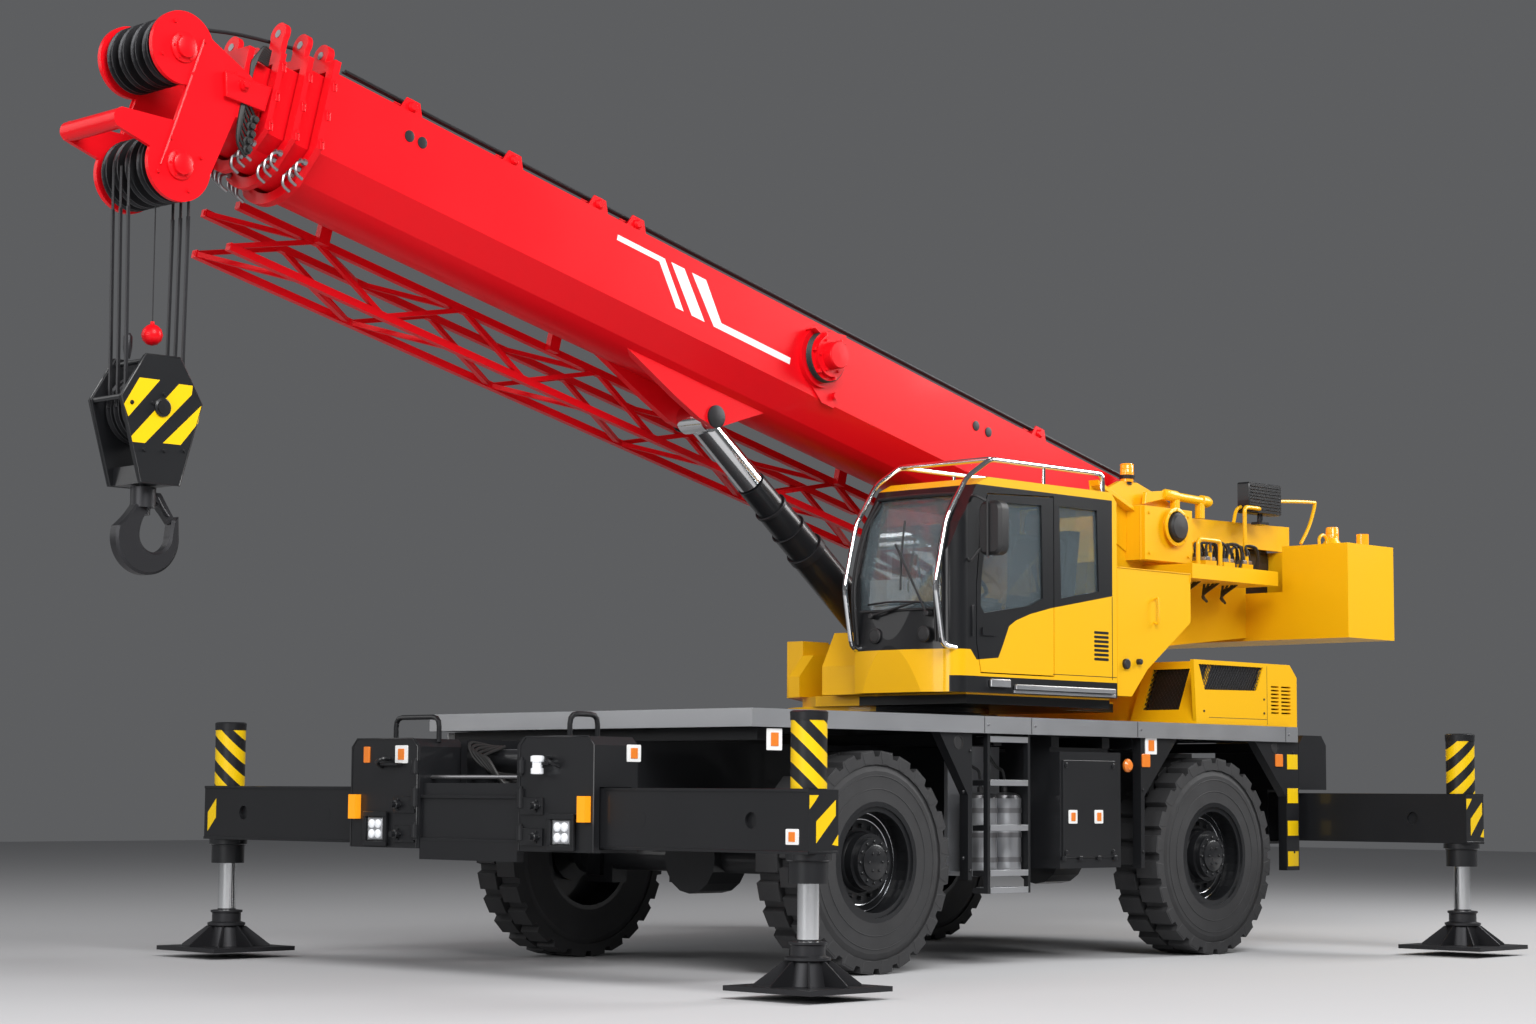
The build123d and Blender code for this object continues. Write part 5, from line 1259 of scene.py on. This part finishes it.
for body, mouth, radius, depth in GLANDS:
    gland = lathe([(-depth, radius), (0.002 - depth, radius + 0.007), (-0.002, radius + 0.007),
                   (0.0, radius + 0.002), (0.0, radius - 0.02)], on_lift(mouth), LIFT_U, 40)
    piece(f"{body}_gland", [gland], body, iron)
caps = [lathe(ROD_CAP, at(ROD_PIN[0], 0, ROD_PIN[1]), side * LEFT, 28) for side in SIDES]
bolts = bolt_circle(at(ROD_PIN[0], 0.16, ROD_PIN[1]), LEFT, 0.035, 3, 0.010, 0.012)
piece("lift_pin_caps", [*caps, bolts, mirror_y(bolts)], "boom", iron)
print("cylinder glands", len(GLANDS))

# %% [markdown]
# ## Wheels and carrier sides
# A truck wheel reads through its rings: a polished lip, a step, a disc with nuts and a hub cap with bolts.
# The tyre's lugs run over the shoulder, so a short block continues each of them down the wall.

# %% Wheels
AXLE_END = 1.774         # metres from the slewing axis to each axle
AXLE_UP = 0.685
RIM_FACE = 1.4605        # how far out the rim's lip stands
HUB_FACE = 1.4645
DISC_FACE = 1.3445
WALL_FACE = 1.4865
LUGS = 24
RIM_RINGS = [            # how far out, radius, thickness
    (RIM_FACE, 0.343, 0.005), (RIM_FACE, 0.315, 0.004), (DISC_FACE, 0.265, 0.006),
    (RIM_FACE - 0.11, 0.306, 0.005),
]
WALL_RINGS = [(WALL_FACE - 0.018, 0.606, 0.005), (WALL_FACE, 0.531, 0.003), (WALL_FACE, 0.450, 0.003)]
HUB_CAP = [(HUB_FACE, 0.107), (HUB_FACE + 0.012, 0.107), (HUB_FACE + 0.016, 0.100), (HUB_FACE + 0.016, 0.0)]
HUB_BOLTS = [            # how far out, radius, how many, size, height
    (HUB_FACE, 0.128, 12, 0.010, 0.012), (HUB_FACE + 0.016, 0.060, 6, 0.007, 0.008),
    (DISC_FACE, 0.222, 16, 0.014, 0.022),
]
NUT_RING = [(DISC_FACE, 0.190), (DISC_FACE + 0.02, 0.184), (DISC_FACE + 0.03, 0.176)]
SHOULDER = [(0.600, 0.028), (0.640, 0.044), (0.676, 0.050), (0.676, -0.050), (0.640, -0.044), (0.600, -0.028)]

rim_shine = Paint("rim_shine", (0.42, 0.43, 0.45), 0.16, metallic=1.0)
for name, end, side in CORNERS:
    centre, out, body = at(end * AXLE_END, 0, AXLE_UP), side * LEFT, f"wheel_{name}"
    lips = [ring(centre + far * out, out, radius, thickness) for far, radius, thickness in RIM_RINGS]
    hub = [lathe(HUB_CAP, centre, out, 48)]
    hub += [bolt_circle(centre + far * out, out, radius, *bolts) for far, radius, *bolts in HUB_BOLTS]
    hub.append(lathe(NUT_RING, centre, out, 48))
    wall = [ring(centre + far * out, out, radius, thickness) for far, radius, thickness in WALL_RINGS]
    lug = plate(SHOULDER, centre + (WALL_FACE - 0.028) * out, FORWARD, -side * UP, 0.030, 0.004)
    turns = 2 * np.pi * (np.arange(LUGS) + (0.5 if side > 0 else 0.0)) / LUGS
    wall.append(spin(lug, centre, LEFT, turns))
    piece(f"rim_lips_{name}", lips, body, rim_shine)
    piece(f"hub_cap_{name}", hub, body, black)
    piece(f"tyre_wall_{name}", wall, body, rubber)
print("wheels", len(CORNERS))

# %% Carrier sides
PANEL_Y = 1.465
LADDER_X = (0.276, 0.659)
TREADS = (0.505, 0.615, 0.905, 1.195, 1.475)
TANK_TOP = [(1.08, 0.108), (1.10, 0.100), (1.115, 0.070), (1.12, 0.0)]
TANK_VALVE = [(1.12, 0.020), (1.15, 0.020), (1.155, 0.012), (1.20, 0.012)]
TANK_PIPE = np.array([(0, 0, 1.20), (0.02, 0, 1.26), (0.09, 0, 1.29), (0.16, 0, 1.36)])
CATCH = [(0.010, 0.018), (0.016, 0.018), (0.018, 0.012), (0.024, 0.010), (0.024, 0)]
DOOR = oblong(-0.655, 0.689, -0.085, 1.335)      # x, height
PANEL_BOLTS = ((0.93, 1.12), (0.93, 0.70), (-0.97, 0.72), (-0.97, 1.14), (-2.79, 0.70), (-2.79, 1.42),
               (0.86, 0.62), (0.86, 1.38))
DECK_LOW, DECK_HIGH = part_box("deck_edge")
DECK_SEAMS = (0.74, 0.261, -0.888, -2.667)

treads, bands, doors, catches, darks, seams, clamps, yellows = [], [], [], [], [], [], [], []
for side in SIDES:
    face, out = side * PANEL_Y, side * LEFT
    for z in TREADS:
        treads.append(slab(LADDER_X, (side * 1.345, side * 1.468), (z, z + 0.004), 0.001))
        treads.append(slab(LADDER_X, (face, face + side * 0.004), (z - 0.034, z + 0.004), 0.001))
    for x in (0.18, 0.43):
        foot = at(x, side * 1.19, 0)
        for z in (0.68, 0.84, 1.00):
            low, high = z - 0.016, z + 0.016
            bands.append(lathe([(low, 0.110), (low, 0.114), (high, 0.114), (high, 0.110)], foot, UP, 40))
        bands.append(lathe(TANK_TOP, foot, UP, 40))
        darks += [lathe(TANK_VALVE, foot, UP, 12), tube(curve(foot + TANK_PIPE, 5), 0.010, 7)]
    door = DOOR * (-side, 1)
    doors.append(plate(door[::-side], at(0, face, 0), -side * FORWARD, UP, 0.010, 0.004))
    catches += [lathe(CATCH, at(x, face, z), out, 16) for z in (1.30, 0.725) for x in (-0.115, -0.625)]
    for x in (-0.09, -0.27, -0.47, -0.65):
        catches.append(slab((x - 0.02, x + 0.02), (face, face + side * 0.016), (0.672, 0.700), 0.003))
    # Each side hole is a thin black disc in a ring: the black disc is painted shade inside the hole.
    for x, z in ((0.975, 1.434), (-2.56, 1.458)):
        darks.append(lathe([(0.0005, 0.040), (0.001, 0.0)], at(x, face, z), out, 24))
        darks.append(lathe([(0, 0.046), (0.003, 0.044), (0.003, 0.039), (0, 0.039)], at(x, face, z), out, 24))
    catches += [bolt(at(x, face, z), out, 0.009, 0.008) for x, z in PANEL_BOLTS]
    deck_face = side * DECK_HIGH[1]
    for x in DECK_SEAMS:
        seams.append(slab((x - 0.0025, x + 0.0025), (deck_face + side * 0.0005, deck_face + side * 0.0015),
                          (DECK_LOW[2] + 0.002, DECK_HIGH[2] - 0.002), 0.0004))
        clamps.append(bolt(at(x - 0.04, deck_face, (DECK_LOW[2] + DECK_HIGH[2]) / 2), out, 0.008, 0.006))
    for z in (1.30, 1.055, 0.82, 0.60):
        yellows.append(slab((-2.846, -2.712), (side * 1.4655, side * 1.4675), (z, z + 0.107), 0.0006))
piece("ladder_treads", treads, "carrier", silver)
piece("tank_bands", bands, "carrier", steel)
piece("toolbox_doors", doors, "carrier", black)
piece("toolbox_catches", catches, "carrier", black)
piece("side_holes", darks, "carrier", plastic)
piece("deck_seams", seams, "carrier", plastic)
piece("deck_bolts", clamps, "carrier", steel)
piece("rear_post_bands", yellows, "carrier", hazard_yellow)
print("carrier side pieces", len(treads) + len(bands) + len(doors) + len(catches))

# %% [markdown]
# ## Paints that change over one solid
# A jack's rod is chrome above its dark foot, and the turntable is black where it lies under the cab, which is
# painted shade.  Both are read from the solid's own height, like the cab's band.

# %% Paints that change over one solid
ROD_FOOT = 0.32          # height where a jack's chrome begins
UNDER_CAB_TOP, UNDER_CAB_Y = 1.75, 0.40

rod_finish = Paint("jack_rod", IRON, 0.42)
_, (_, _, height) = rod_finish.place()
on_rod = height.above(ROD_FOOT)
rod_finish.set("Base Color", rod_finish.mix(on_rod, IRON, CHROME))
rod_finish.set("Metallic", 0.55 + 0.45 * on_rod)
rod_finish.set("Roughness", 0.42 - 0.26 * on_rod)
turntable_paint = gloss_paint("turntable_gloss", YELLOW, 0.33, 0.25)
_, (_, left, height) = turntable_paint.place()
# The black on the turntable under the cab is painted shade.
shade_under_cab = (UNDER_CAB_TOP - height).above(0.0) * left.above(UNDER_CAB_Y)
turntable_paint.set("Base Color", turntable_paint.mix(shade_under_cab, YELLOW, BLACK))
WHOLE = {"turntable": turntable_paint, "ladders": black, "air_tanks": silver}
WHOLE.update({f"float_{name}": rod_finish for name, end, side in CORNERS})
for name, paint in WHOLE.items():
    frame["nodes"][name].data.materials[0] = paint.material
print("repainted", len(WHOLE))
